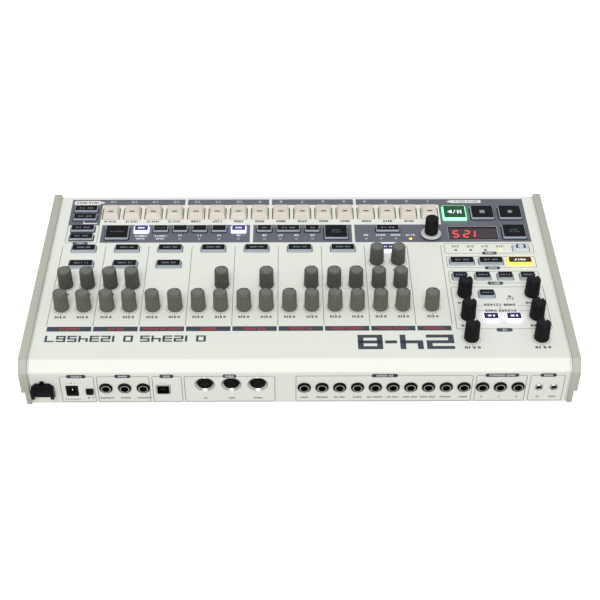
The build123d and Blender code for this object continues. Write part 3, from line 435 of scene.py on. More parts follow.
WHITE_INK = ink("white_ink", (236, 238, 236))
STEP_INK = ink("step_ink", (186, 187, 194))
TAG_INK = ink("tag_ink", (214, 216, 218))
TAG_FILL = ink("tag_fill", (72, 75, 81))
ROSE_INK = ink("rose_ink", (150, 108, 112))
RED_INK = ink("red_ink", (176, 70, 68))
LEGEND = ink("legend_ink", (134, 138, 148))
DIM_LEGEND = ink("dim_legend_ink", (82, 86, 98))
BLACK = surface("black_moulding", (8, 8, 10), 0.4, grain=0.3, bump=0.08, Specular_IOR_Level=0.12)
HOLE = surface("socket_inside", (6, 6, 8), 0.6, Specular_IOR_Level=0.1)
NICKEL = surface("nickel", (222, 222, 218), 0.24, grain=0.6, bump=0.02, Metallic=1.0)
STEEL = surface("zinc_steel", (176, 178, 180), 0.35, grain=0.3, Metallic=1.0)
BRASS = surface("spacer_brass", (199, 163, 92), 0.3, Metallic=1.0)
SOLDER_MASK = surface("solder_mask", (24, 84, 48), 0.35, grain=1.2, bump=0.15, drift=0.12, drift_size=4)
POT = surface("pot_moulding", (33, 38, 51), 0.5)
SWITCH = surface("switch_moulding", (20, 20, 23), 0.5)
RUBBER = surface("rubber", (34, 34, 35), 0.8, grain=0.5, bump=0.2)
FILTER = surface("display_filter", (62, 50, 56), 0.16, grain=1.0, bump=0.01, drift=0.1)
FILTER_SHADE = surface("display_filter_shade", (34, 10, 16), 0.3)
UNLIT = surface("unlit_segment", (67, 51, 57), 0.3)
CLEAR_LENS = surface("unlit_lens", (156, 152, 176), 0.2, grain=0.3, bump=0.02)
DARK_LENS = surface("unlit_lens_dark", (96, 94, 102), 0.2, grain=0.3, bump=0.02)
RED_LIGHT = lit("red_light", (240, 60, 60), (255, 70, 68), 1.0)
WHITE_LIGHT = lit("white_light", (236, 232, 255), (196, 184, 255), 1.9)
WHITE_LEGEND = lit("lit_legend", (236, 238, 255), (225, 225, 255), 0.9)
GREEN_LIGHT = lit("green_light", (176, 235, 214), (118, 255, 160), 1.7)
GREEN_INLAY = lit("green_inlay", (6, 58, 28), (0, 80, 34), 0.5)
YELLOW_LIGHT = lit("yellow_light", (245, 224, 100), (255, 208, 44), 1.1)
YELLOW_INLAY = lit("amber_inlay", (34, 20, 8), (54, 30, 4), 0.5)
AMBER_LIGHT = lit("amber_light", (255, 172, 64), (255, 172, 64), 2.4)
VIOLET_INLAY = lit("violet_inlay", (40, 38, 72), (66, 58, 118), 0.5)
BLUE_INLAY = lit("backlit_inlay", (24, 24, 50), (36, 34, 76), 0.4)


# ---- Mesh building ----
class Shape:
    """Points and faces in a local millimetre frame, gathered into one mesh."""

    def __init__(self):
        self.points, self.faces, self.slots, self.surfaces = [], [], [], []

    def add(self, points, faces, material, place=None):
        start = len(self.points)
        vectors = [Vector(p) for p in points]
        self.points += [place @ p for p in vectors] if place else vectors
        self.faces += [[start + n for n in face] for face in faces]
        if material not in self.surfaces:
            self.surfaces.append(material)
        self.slots += [self.surfaces.index(material)] * len(faces)

    def mesh(self, name, local):
        mesh = bpy.data.meshes.new(name)
        mesh.from_pydata([local @ p for p in self.points], [], self.faces)
        for material in self.surfaces:
            mesh.materials.append(material)
        mesh.polygons.foreach_set("material_index", self.slots)
        mesh.shade_smooth()
        mesh.set_sharp_from_angle(angle=CREASE)
        return mesh

    def piece(self, name, local, body, slot=None, replaces=()):
        return put(self.mesh(name, local), name, body, replaces)


def linked(name, data):
    """New object in the scene."""
    thing = bpy.data.objects.new(name, data)
    bpy.context.scene.collection.objects.link(thing)
    return thing


def put(mesh, name, body, replaces=(), place=None):
    """Object for a mesh, riding on a body of the model."""
    thing = linked(name, mesh)
    if place:
        thing.matrix_world = place
    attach(thing, body)
    if replaces:
        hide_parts(*replaces)
    return thing


def at(x, y):
    """Shift within a local frame."""
    return Matrix.Translation((x, y, 0))


def rounded(width, length, radius, steps=4):
    """Outline of a rounded rectangle about the origin, anticlockwise."""
    points = []
    for quarter, (x_way, y_way) in enumerate(((1, 1), (-1, 1), (-1, -1), (1, -1))):
        x = x_way * (width / 2 - radius)
        y = y_way * (length / 2 - radius)
        for n in range(steps + 1):
            angle = math.pi / 2 * (quarter + n / steps)
            points.append((x + radius * math.cos(angle), y + radius * math.sin(angle)))
    return points


def square(width, length):
    """Outline of a rectangle about the origin, anticlockwise."""
    x, y = width / 2, length / 2
    return [(x, y), (-x, y), (-x, -y), (x, -y)]


def circle(radius, count=32):
    """Outline of a circle about the origin, anticlockwise."""
    angles = [2 * math.pi * n / count for n in range(count)]
    return [(radius * math.cos(a), radius * math.sin(a)) for a in angles]


def moved(outline, x, y):
    """Outline shifted in its plane."""
    return [(px + x, py + y) for px, py in outline]


def ring(outline, height):
    """Outline lifted to a height."""
    return [(x, y, height) for x, y in outline]


def skin(shape, rings, materials, place=None, bottom=False, top=True):
    """Side faces through rings of equal length, lowest first, with end faces.

    One material for all, or one for each band and then one for the top.
    """
    count, bands = len(rings[0]), len(rings) - 1
    if not isinstance(materials, (list, tuple)):
        materials = [materials] * (bands + 1)
    for level in range(bands):
        faces = [(n, (n + 1) % count, count + (n + 1) % count, count + n) for n in range(count)]
        shape.add(rings[level] + rings[level + 1], faces, materials[level], place)
    if bottom:
        shape.add(rings[0], [list(range(count))[::-1]], materials[0], place)
    if top:
        shape.add(rings[-1], [list(range(count))], materials[-1], place)


def turned(shape, profile, materials, count=48, place=None, flutes=0, top=True, bottom=False):
    """Body turned about the local axis from (radius, height) or (radius, height, flute depth)."""
    rings = []
    angles = [2 * math.pi * n / count for n in range(count)]
    for radius, height, *flute in profile:
        depth = flute[0] if flute else 0
        radii = [radius - depth * (0.5 - 0.5 * math.cos(flutes * a)) for a in angles]
        rings.append([(r * math.cos(a), r * math.sin(a), height) for r, a in zip(radii, angles)])
    skin(shape, rings, materials, place, bottom, top)


def flat(shape, outline, material, holes=(), height=INK, place=None):
    """Thin print or a plain face: a filled outline with holes."""
    loops = [outline, *holes]
    triangles = tessellate_polygon([[Vector((x, y, 0)) for x, y in loop] for loop in loops])
    points = [(x, y, height) for loop in loops for x, y in loop]
    faces = []
    for a, b, c in triangles:
        turn = ((points[b][0] - points[a][0]) * (points[c][1] - points[a][1])
                - (points[b][1] - points[a][1]) * (points[c][0] - points[a][0]))
        faces.append((a, b, c) if turn > 0 else (a, c, b))
    shape.add(points, faces, material, place)


def bar(shape, x0, x1, y0, y1, material, height=INK):
    """Printed rectangle between two corners."""
    outline = square(abs(x1 - x0), abs(y1 - y0))
    flat(shape, moved(outline, (x0 + x1) / 2, (y0 + y1) / 2), material, height=height)


def outlined(shape, x0, x1, y0, y1, material):
    """Printed rounded frame between two corners."""
    centre = ((x0 + x1) / 2, (y0 + y1) / 2)
    outer = rounded(abs(x1 - x0), abs(y1 - y0), FRAME_CORNER)
    inner = rounded(abs(x1 - x0) - 2 * LINE, abs(y1 - y0) - 2 * LINE, FRAME_CORNER - LINE)
    flat(shape, moved(outer, *centre), material, [moved(inner, *centre)])


def letters(shape, words, x, y, height, material, level=INK, width=None, weight=THIN):
    """Printed numerals or signs centred on a point, drawn out to a width where one is given."""
    curve = bpy.data.curves.new("letters", "FONT")
    curve.body = words
    curve.offset = weight
    curve.resolution_u = 2
    holder = bpy.data.objects.new("letters", curve)
    mesh = bpy.data.meshes.new_from_object(holder)
    across = [v.co.x for v in mesh.vertices]
    scale = height / CAPITALS
    stretch = width / (max(across) - min(across)) if width else STRETCH * scale
    centre = (max(across) + min(across)) / 2
    points = [(x + (v.co.x - centre) * stretch, y + v.co.y * scale - height / 2, level)
              for v in mesh.vertices]
    shape.add(points, [list(p.vertices) for p in mesh.polygons], material)
    bpy.data.objects.remove(holder)
    bpy.data.curves.remove(curve)
    bpy.data.meshes.remove(mesh)


def note(shape, words, x, y, width, material=DARK_INK, height=LARGE):
    """Bold numerals beside a control."""
    letters(shape, words, x, y, height, material, width=width, weight=BOLD)


def tag(shape, x0, x1, y0, y1, words, material=TAG_FILL, text=TAG_INK, width=None):
    """Printed pill between two corners with numerals in it."""
    length = abs(y1 - y0)
    centre = ((x0 + x1) / 2, (y0 + y1) / 2)
    outline = rounded(abs(x1 - x0), length, TAG_CORNER * length)
    flat(shape, moved(outline, *centre), material, height=OVERPRINT)
    letters(shape, words, *centre, TAG_WORDS * length, text, OVERPRINT + FINE, width)


def triangle(shape, x, y, size, way, material, height, width=None):
    """Printed arrow head that points along X."""
    half = (width or size) / 2
    points = [(x - way * size / 2, y - half), (x + way * size / 2, y), (x - way * size / 2, y + half)]
    flat(shape, points if way > 0 else points[::-1], material, height=height)


SEGMENTS = {"0": "abcdef", "1": "bc", "2": "abged", "3": "abgcd", "4": "fgbc", "5": "afgcd",
            "6": "afgedc", "7": "abc", "8": "abcdefg", "-": "g", " ": ""}


def segment_places(width, length):
    """Middle, direction and span of the seven segments of a numeral."""
    half = length / 2
    return {"a": (0, half, 0, width), "g": (0, 0, 0, width), "d": (0, -half, 0, width),
            "b": (width / 2, half / 2, 1, half), "c": (width / 2, -half / 2, 1, half),
            "e": (-width / 2, -half / 2, 1, half), "f": (-width / 2, half / 2, 1, half)}


def block_numeral(shape, sign, x, y, width, length, strokes, material):
    """Printed numeral of square bars; the strokes are an upright's width and a level one's."""
    places = segment_places(width - strokes[0], length - strokes[1])
    for name in SEGMENTS[sign]:
        sx, sy, upright, span = places[name]
        size = (strokes[0], span + strokes[1]) if upright else (span + strokes[0], strokes[1])
        flat(shape, moved(square(*size), x + sx, y + sy), material, height=INK + UPRIGHT_RISE * upright)


# ---- Places read from the model ----
def solids(node, local):
    """Low and high corners, in a local frame, of each separate solid of a CAD node."""
    bm = bmesh.new()
    bm.from_mesh(frame["nodes"][node].data)
    bmesh.ops.remove_doubles(bm, verts=bm.verts, dist=WELD)
    bm.transform(local.inverted())
    found, seen = [], set()
    for start in bm.verts:
        if start in seen:
            continue
        seen.add(start)
        waiting, island = [start], []
        while waiting:
            vertex = waiting.pop()
            island.append(vertex.co[:])
            nearby = {edge.other_vert(vertex) for edge in vertex.link_edges} - seen
            seen |= nearby
            waiting += nearby
        corners = np.array(island)
        found.append((Vector(corners.min(0)), Vector(corners.max(0))))
    bm.free()
    return sorted(found, key=lambda box: (round(box[0].y), box[0].x))


def middle(low, high):
    """Middle of a box in its frame's plane."""
    return (low.x + high.x) / 2, (low.y + high.y) / 2


class Key:
    """One push key: its middle, its size at the panel and its height."""

    def __init__(self, bank, low, high):
        self.bank = bank
        self.x, self.v = middle(low, high)
        self.width, self.length = high.x - low.x - 2 * KEY_LIP, high.y - low.y - 2 * KEY_LIP
        self.rise = high.z

    def level(self, taper, share, inset, height, corner=KEY_CORNER, forward=0):
        """Its outline at a height, less a share of its taper and set in on all sides."""
        width = self.width - share * taper[0] - 2 * inset
        length = self.length - share * taper[1] - 2 * inset
        return ring(moved(rounded(width, length, corner), 0, -share * forward), height)

    def opening(self):
        """Outline of its hole in the panel."""
        side_gap = STEP_SIDE_GAP if self.bank in STEP_BANKS else KEY_GAP
        outline = rounded(self.width + 2 * side_gap, self.length + 2 * KEY_GAP, KEY_CORNER + KEY_GAP)
        return moved(outline, self.x, self.v)


def keys_of(*banks):
    """Keys of some banks, bank by bank."""
    return [Key(bank, *box) for bank in banks for box in solids(bank, PANEL)]


def nearest(keys, place):
    """The key whose middle is closest to a place on the panel."""
    return min(keys, key=lambda key: (key.x - place[0]) ** 2 + (key.v - place[1]) ** 2)


def control_place(node):
    """Across and up the panel, in mm, of a control's axis."""
    local = PANEL.inverted() @ Vector(joints[node]["pos_m"])
    return local.x, local.y


STEP_BANKS = ("step_keys_1_to_8", "step_keys_9_to_16")
steps = keys_of(*STEP_BANKS)
tiles = keys_of("transport_and_track_keys")
voices = keys_of("voice_select_keys")
modes = keys_of("mode_keys")
functions = keys_of("function_keys")
all_keys = steps + tiles + voices + modes + functions
lights = [middle(*box) for box in solids("status_lights", PANEL)]
window_box, glass_box = sorted(solids("display", PANEL), key=lambda box: box[1].z)
window_middle = middle(*window_box)
window_size = (window_box[1].x - window_box[0].x, window_box[1].y - window_box[0].y)
grey_knobs = [n for n in frame["nodes"] if n.startswith(("level_knob", "tune_knob", "decay_knob"))]
black_knobs = [n for n in frame["nodes"] if n.startswith("output_knob")]
dial_place = control_place("tempo_dial")


# ---- Keys ----
def lip(shape, key, material):
    """Retaining lip that shows in the gap around a key, coloured with painted shade."""
    edge = square(key.width + 2 * KEY_LIP, key.length + 2 * KEY_LIP)
    flat(shape, edge, material, [rounded(key.width, key.length, KEY_CORNER)], KEY_LIP_TOP, at(key.x, key.v))


def dark_key(shape, key, skirt=SKIRT, edge=SKIRT_PAINTED_LIGHT, inlay=INLAY, gap_shade=PALE_GAP_PAINTED_SHADE, taper=KEY_TAPER):
    """Frosted skirt with a dark insert let into its top; by default painted light on its foot band and pale
    painted shade in its gap.
    """
    top = key.rise

    def level(share, inset, height):
        return key.level(taper, share, inset, height, KEY_CORNER - inset)

    rings = [level(0, 0, KEY_LIP_TOP), level(0, 0, 0), level(KEY_FOOT, 0, KEY_FOOT * top),
             level(1 - KEY_ROUND / top, 0, top - KEY_ROUND), level(1, KEY_BREAK, top - KEY_BREAK),
             level(1, KEY_ROUND, top), level(1, INLAY_RIM, top), level(1, INLAY_RIM, top - INLAY_STEP)]
    skin(shape, rings, [edge] * 2 + [skirt] * 4 + [inlay] * 2, at(key.x, key.v))
    lip(shape, key, gap_shade)


def slate_key(shape, key):
    """Unlit dark key on the slate field, where its foot lies in shade."""
    dark_key(shape, key, edge=SKIRT_PAINTED_SHADE, gap_shade=GAP_PAINTED_SHADE)


def lit_key(shape, key, light, inlay):
    """Dark key lit from below."""
    dark_key(shape, key, light, light, inlay)


def step_key(shape, key):
    """Beige key with steep sides and a dark slot across its top."""
    top, place = key.rise, at(key.x, key.v)

    def level(share, inset, height):
        return key.level(STEP_TAPER, share, inset, height, forward=STEP_FORWARD)

    rings = [level(0, 0, KEY_LIP_TOP), level(0, 0, 0),
             level(1 - STEP_ROUND[1] / top, 0, top - STEP_ROUND[1]),
             level(1, STEP_BREAK[0], top - STEP_BREAK[1]), level(1, STEP_ROUND[0], top)]
    skin(shape, rings, BEIGE, place, top=False)
    slot = moved(rounded(*STEP_WINDOW, STEP_WINDOW_CORNER), 0, STEP_WINDOW_REAR)
    flat(shape, [p[:2] for p in rings[-1]], BEIGE, [slot], top, place)
    skin(shape, [ring(slot, top), ring(slot, top - STEP_WINDOW_DEPTH)], SLOT, place)
    lip(shape, key, GAP_PAINTED_SHADE)


def insert_top(key):
    """Height of the print on a key's insert."""
    return key.rise - INLAY_STEP + FINE


def legend(shape, key, words, size=LONG_LEGEND, material=LEGEND, shift=0.0):
    """Numerals on a key's insert."""
    width, height = size
    letters(shape, words, key.x, key.v + shift, height, material, insert_top(key), width)


def step_caps():
    for bank in STEP_BANKS:
        caps = Shape()
        for key in steps:
            if key.bank == bank:
                step_key(caps, key)
        caps.piece(f"{bank}_caps", PANEL, bank, "step_key", [bank])


def dark_caps(caps, bank):
    """The piece of a bank of dark keys."""
    caps.piece(bank.replace("keys", "caps"), PANEL, bank, "key_skirt", [bank])


def play_signs(caps, key):
    """Play and pause signs."""
    top = insert_top(key)
    for x0, x1 in PAUSE_BARS:
        bar(caps, key.x + x0, key.x + x1, key.v - PLAY_HALF, key.v + PLAY_HALF, WHITE_LEGEND, top)
    flat(caps, moved(PLAY_SLASH, key.x, key.v), WHITE_LEGEND, height=top)
    triangle(caps, key.x + PLAY_SHIFT, key.v, PLAY_ARROW[0], 1, WHITE_LEGEND, top, PLAY_ARROW[1])


def transport_and_track_caps():
    """Transport keys in the front row, from the player's left record, stop and play; then the rest."""
    record_key, stop_key, play_key, *track_keys = sorted(tiles, key=lambda key: (round(key.v), key.x))
    caps = Shape()
    for key in tiles:
        if key is play_key:
            lit_key(caps, key, GREEN_LIGHT, GREEN_INLAY)
        else:
            slate_key(caps, key)
    play_signs(caps, play_key)
    stop_sign = moved(square(2 * STOP_HALF, 2 * STOP_HALF), stop_key.x, stop_key.v)
    flat(caps, stop_sign, LEGEND, height=insert_top(stop_key))
    spot = moved(circle(RECORD_RADIUS), record_key.x, record_key.v)
    flat(caps, spot, LEGEND, height=insert_top(record_key))
    for number, key in enumerate(track_keys, start=1):
        if key.x < 0:
            legend(caps, key, f"{1000 * number + 16}", UPPER_LEGEND, DIM_LEGEND, LEGEND_LINE)
            legend(caps, key, f"{200 * number}", LOWER_LEGEND, DIM_LEGEND, -LEGEND_LINE)
        else:
            legend(caps, key, f"{number:02d}0016", TRACK_LEGEND, DIM_LEGEND)
    dark_caps(caps, "transport_and_track_keys")


def voice_select_caps():
    caps = Shape()
    lit_voice = nearest(voices, LIT_VOICE)
    for number, key in enumerate(voices, start=1):
        if key is lit_voice:
            lit_key(caps, key, WHITE_LIGHT, BLUE_INLAY)
            legend(caps, key, f"{number:02d} 1000", material=WHITE_LEGEND)
        else:
            dark_key(caps, key)
            legend(caps, key, f"{number:02d} {100 * number}")
    dark_caps(caps, "voice_select_keys")


def mode_caps():
    caps = Shape()
    lit_mode = nearest(modes, LIT_MODE)
    for number, key in enumerate(modes, start=1):
        if key is lit_mode:
            lit_key(caps, key, YELLOW_LIGHT, YELLOW_INLAY)
            legend(caps, key, f"{number}0{number + 10}", LIT_MODE_LEGEND, WHITE_LEGEND)
            continue
        if key.v < FIELD_REAR:
            slate_key(caps, key)
        else:
            dark_key(caps, key)
        legend(caps, key, f"{number:02d} {number + 10}")
    dark_caps(caps, "mode_keys")


def wind_signs(caps, key):
    """Double arrow that points to the other wind key."""
    way = 1 if key.x < 0 else -1
    for shift in (-WIND_SHIFT, WIND_SHIFT):
        triangle(caps, key.x + shift, key.v, WIND_ARROW, way, LEGEND, insert_top(key))


def function_caps():
    caps = Shape()
    filter_keys, lit_keys, wind_keys = (
        [nearest(functions, place) for place in places] for places in (FILTER_KEYS, LIT_FUNCTIONS, WIND_KEYS))
    option_key = min(functions, key=lambda key: key.rise)
    for number, key in enumerate(functions, start=1):
        if key is option_key:
            dark_key(caps, key, PALE_CAP, PALE_CAP, PALE_CAP, taper=OPTION_TAPER)
            legend(caps, key, "[ ]", OPTION_LEGEND, BLACK)
        elif key in filter_keys:
            lit_key(caps, key, WHITE_LIGHT, BLUE_INLAY)
            legend(caps, key, f"{number}", FILTER_LEGEND, WHITE_LEGEND)
        elif key in lit_keys:
            lit_key(caps, key, WHITE_LIGHT, VIOLET_INLAY)
            legend(caps, key, f"{number:03d}", LIT_LEGEND, WHITE_LEGEND)
        elif key.v > FIELD_REAR:
            dark_key(caps, key)
            legend(caps, key, f"{number:02d}{number + 10}", SHORT_LEGEND)
        else:
            slate_key(caps, key)
            if key in wind_keys:
                wind_signs(caps, key)
            elif key.x > WORDS_FROM:
                legend(caps, key, f"{number:02d}{number + 10}", SHORT_LEGEND, DIM_LEGEND)
    dark_caps(caps, "function_keys")


# ---- Knobs ----
def knob_mesh(name, top, height, body, crown, mark):
    """Fluted tapered cap with a ring let into its top and a short pointer at the edge."""
    shape = Shape()
    foot, head, face = KNOB_BASE / 2, top / 2, height - POINTER_RISE
    profile = [(foot + r, h, *flute) for r, h, *flute in KNOB_FOOT]
    profile += [(head + r, face + h, *flute) for r, h, *flute in KNOB_SHOULDER + KNOB_CROWN]
    groove = mark if crown is GREY_TOP else body
    materials = [body] * 4 + [crown] + [groove] * 3 + [crown]
    turned(shape, profile, materials, KNOB_SIDES, flutes=FLUTES, bottom=True)
    turn = Matrix.Rotation(math.radians(POINTER_ANGLE), 4, "Z")
    inner, outer = (head + r for r in POINTER_ENDS)
    pointer = [(inner, -POINTER_HALF), (outer, -POINTER_HALF), (outer, POINTER_HALF), (inner, POINTER_HALF)]
    flat(shape, pointer, mark, height=height, place=turn)
    points = [(head + r, y, height + h) for r, h in POINTER_EDGE for y in (-POINTER_HALF, POINTER_HALF)]
    shape.add(points, [(0, 2, 3, 1), (2, 4, 5, 3)], mark, turn)
    return shape.mesh(name, Matrix.Scale(MM, 4))


def put_on_panel(mesh, node):
    """Cap of a turning control, an object in metres that stands on the panel."""
    place = PANEL @ at(*control_place(node)) @ Matrix.Scale(1 / MM, 4)
    put(mesh, f"{node}_cap", node, [node], place)


def knob_caps():
    rear = knob_mesh("grey_knob", KNOB_TOP, KNOB_HEIGHT, GREY_KNOB, GREY_TOP, DARK_MARK)
    # the middle row gets the copy with darker painted shade
    shaded = knob_mesh("grey_knob_painted_shade", KNOB_TOP, KNOB_HEIGHT, PAINTED_SHADE_GREY_KNOB, GREY_TOP, DARK_MARK)
    for node in grey_knobs:
        put_on_panel(rear if control_place(node)[1] > REAR_ROW else shaded, node)
    black = knob_mesh("black_knob", OUTPUT_TOP, OUTPUT_HEIGHT, BLACK_KNOB, BLACK_TOP, WHITE_MARK)
    for node in black_knobs:
        put_on_panel(black, node)


def dial_cap():
    dial = Shape()
    # painted shade on the lower bands of the dial's ring
    ring_materials = [SKIRT_PAINTED_SHADE] * 2 + [RING] * 3
    turned(dial, DIAL_RING, ring_materials, DIAL_SIDES, flutes=DIAL_FLUTES, top=False, bottom=True)
    turned(dial, DIAL_GRIP, BLACK_KNOB, KNOB_SIDES, flutes=FLUTES)
    put_on_panel(dial.mesh("tempo_dial", Matrix.Scale(MM, 4)), "tempo_dial")


# ---- Print on the control panel ----
def inside(point, outline):
    """Whether a point lies within an outline."""
    x, y = point
    crossings = 0
    for (x0, y0), (x1, y1) in zip(outline, outline[1:] + outline[:1]):
        if (y0 > y) != (y1 > y) and x < x0 + (y - y0) / (y1 - y0) * (x1 - x0):
            crossings += 1
    return crossings % 2 == 1


def field(shape, outline):
    """Printed area with every opening in it left out."""
    holes = [key.opening() for key in all_keys if inside((key.x, key.v), outline)]
    holes += [moved(circle(LIGHT_HOLE), *light) for light in lights if inside(light, outline)]
    if inside(dial_place, outline):
        holes.append(moved(circle(DIAL_HOLE), *dial_place))
    if inside(window_middle, outline):
        width, length = (size + 2 * WINDOW_GAP for size in window_size)
        holes.append(moved(rounded(width, length, WINDOW_CORNER, 2), *window_middle))
    flat(shape, outline, SLATE, holes)


def colour_fields():
    """Fields around the transport keys, the stacked keys, the step numbers and the functions."""
    gaps = [(a.x + b.x) / 2 for a, b in zip(steps, steps[1:])]
    half = GROUP_GAP / 2
    right, centre, left = gaps[3], gaps[7], gaps[11]
    shape = Shape()
    field(shape, [(right - half, FIELD_FRONT), (right - half, FIELD_STRIP), (TRANSPORT_EDGE, FIELD_STRIP),
                  (TRANSPORT_EDGE, FIELD_BREAK), (DISPLAY_EDGE, FIELD_BREAK), (DISPLAY_EDGE, FIELD_REAR),
                  (-FIELD_HALF, FIELD_REAR), (-FIELD_HALF, FIELD_FRONT)])
    field(shape, [(FIELD_HALF, FIELD_FRONT), (FIELD_HALF, FIELD_BREAK), (STACK_EDGE, FIELD_BREAK),
                  (STACK_EDGE, FIELD_STRIP), (left + half, FIELD_STRIP), (left + half, FIELD_FRONT)])
    for x0, x1 in ((right + half, centre - half), (centre + half, left - half)):
        bar(shape, x0, x1, FIELD_FRONT, FIELD_STRIP, SLATE)
    for x0, x1 in MIDDLE_FIELDS:
        field(shape, [(x0, FIELD_BREAK), (x0, FIELD_REAR), (x1, FIELD_REAR), (x1, FIELD_BREAK)])
    shape.piece("panel_colour_fields", PANEL, "case", "panel_print")


def key_words(shape):
    """Numbers of the steps and words behind them."""
    for number, key in enumerate(steps, start=1):
        letters(shape, f"{number}", key.x, STEP_NUMBERS, STEP_NUMBER, STEP_INK, OVERPRINT)
        words, width = f"{number:02d}{number + 16}", STEP_WIDTH
        if number > LAST_STEPS:
            words, width = f"{101 * number} {number}", LAST_STEP_WIDTH
        note(shape, words, key.x, STEP_WORDS, width)


def light_words(shape):
    """Words in front of the lights on the slate field and the options, and behind the filter's."""
    for number, (x, v) in enumerate(lights, start=1):
        if FIELD_BREAK < v < FIELD_REAR:
            words, width = f"{number:02d}", WIND_LIGHT_WIDTH if x < WIND_SIDE else LAST_LIGHT_WIDTH
            if x < TEMPO_SIDE:
                words, width = f"{number:02d}{number + 18}", TEMPO_LIGHT_WIDTH
            letters(shape, words, x, v - FIELD_LIGHT_SHIFT, LARGE, WHITE_INK, OVERPRINT, width)
        elif v < OPTION_REAR:
            note(shape, f"{number + 200}", x, v - OPTION_SHIFT, OPTION_WIDTH, GREY_INK)
        else:
            letters(shape, f"{number + 300}", x, v + FILTER_SHIFT, MIDDLE, DARK_INK, width=OPTION_WIDTH)
    for key in sorted(functions, key=lambda key: -key.x)[:2]:
        for words, v, height, width in TWO_LINES:
            letters(shape, words, key.x, v, height, WHITE_INK, OVERPRINT, width)


def pills_and_frames(shape):
    """Pills with an arrow in the front rows, and frames around the groups of keys and knobs."""
    for (corners, words, width, arrow, size, way), text in zip(PILLS, (ROSE_INK, GREY_INK)):
        tag(shape, *corners, words, WHITE_INK, text, width)
        triangle(shape, *arrow, size, way, WHITE_INK, OVERPRINT)
    for corners in BENT_LINE:
        bar(shape, *corners, WHITE_INK, OVERPRINT)
    for corners, tag_corners, words in FRAMES:
        outlined(shape, *corners, GREY_INK)
        tag(shape, *tag_corners, words)
    for v in STACK_ARROWS:
        flat(shape, moved(STACK_ARROW, 0, v), DARK_INK, height=OVERPRINT)
    for v, line, words in FILTER_WORDS:
        letters(shape, words, FILTER_MIDDLE, v, FILTER_LETTER, DARK_INK, width=FILTER_WIDTH, weight=MEDIUM)
        for x0, x1 in FILTER_BARS:
            bar(shape, x0, x1, line - FILTER_BAR_HALF, line + FILTER_BAR_HALF, GREY_INK)
    flat(shape, moved(FILTER_DIAMOND, FILTER_MIDDLE, 0), DARK_INK)


def voice_columns(shape):
    """Dividing lines between the voices and the header bars at their rear ends."""
    rear_row = sorted((x for x, v in map(control_place, grey_knobs) if v > REAR_ROW), reverse=True)
    lines = [x + COLUMN_SIDE for x in rear_row[:-1:2]] + [rear_row[-2] - COLUMN_SIDE, LAST_LINE]
    for x in lines:
        bar(shape, x - LINE / 2, x + LINE / 2, COLUMN_FRONT, HEADER_FRONT - COLUMN_GAP, GREY_INK)
    for (words, width), right, left in zip(HEADER_WORDS, lines, lines[1:]):
        bar(shape, left + HEADER_GAPS[0], right - HEADER_GAPS[1], HEADER_FRONT, HEADER_REAR, HEADER)
        letters(shape, words, (left + right) / 2, (HEADER_FRONT + HEADER_REAR) / 2, HEADER_LETTER, RED_INK,
                OVERPRINT, width)


def ticks(shape, x, v):
    """Scale of short lines around a knob, the middle one longest."""
    for n in range(TICK_COUNT):
        angle = math.radians(POINTER_ANGLE - KNOB_RANGE * n / (TICK_COUNT - 1))
        reach = TICK_LONG if n == TICK_COUNT // 2 else TICK_REACH
        corners = [(TICK_START, -TICK_HALF), (reach, -TICK_HALF), (reach, TICK_HALF), (TICK_START, TICK_HALF)]
        flat(shape, corners, DARK_INK, place=at(x, v) @ Matrix.Rotation(angle, 4, "Z"))


def knob_scales(shape):
    for node in grey_knobs + black_knobs:
        x, v = control_place(node)
        ticks(shape, x, v)
        words, width, shift = KNOB_WORDS[node.split("_")[0]]
        note(shape, words, x, v + shift, width)


def title(shape):
    """Plain numbers where a machine carries its title."""
    for first, count in TITLE_ROWS:
        for n in range(count):
            x = first + TITLE_PITCH * n
            block_numeral(shape, f"{n}", x, TITLE_LINE, *TITLE_SIZE, TITLE_STROKES, HEADER)
    for sign, x, width in NUMBER_SIGNS:
        block_numeral(shape, sign, x, NUMBER_LINE, width, NUMBER_LENGTH, NUMBER_STROKES, HEADER)


def panel_marks():
    marks = Shape()
    for part in (key_words, light_words, pills_and_frames, voice_columns, knob_scales, title):
        part(marks)
    marks.piece("panel_marks", PANEL, "case", "panel_print")


# ---- Lights and display ----
def first_light(across, along):
    """The light furthest to the player's left of those in a range."""
    return min((x, v) for x, v in lights if across[0] < x < across[1] and along[0] < v < along[1])


def light_lenses():
    lit_lenses = {first_light(*TEMPO_LIGHTS): AMBER_LIGHT, first_light(*OPTION_LIGHTS): YELLOW_LIGHT}
    lenses = Shape()
    for light in lights:
        lens = lit_lenses.get(light, DARK_LENS if light[1] > FIELD_REAR else CLEAR_LENS)
        turned(lenses, LENS_PROFILE, lens, LENS_SIDES, at(*light), bottom=True)
    lenses.piece("light_lenses", PANEL, "case", "light_pipe", ["status_lights"])


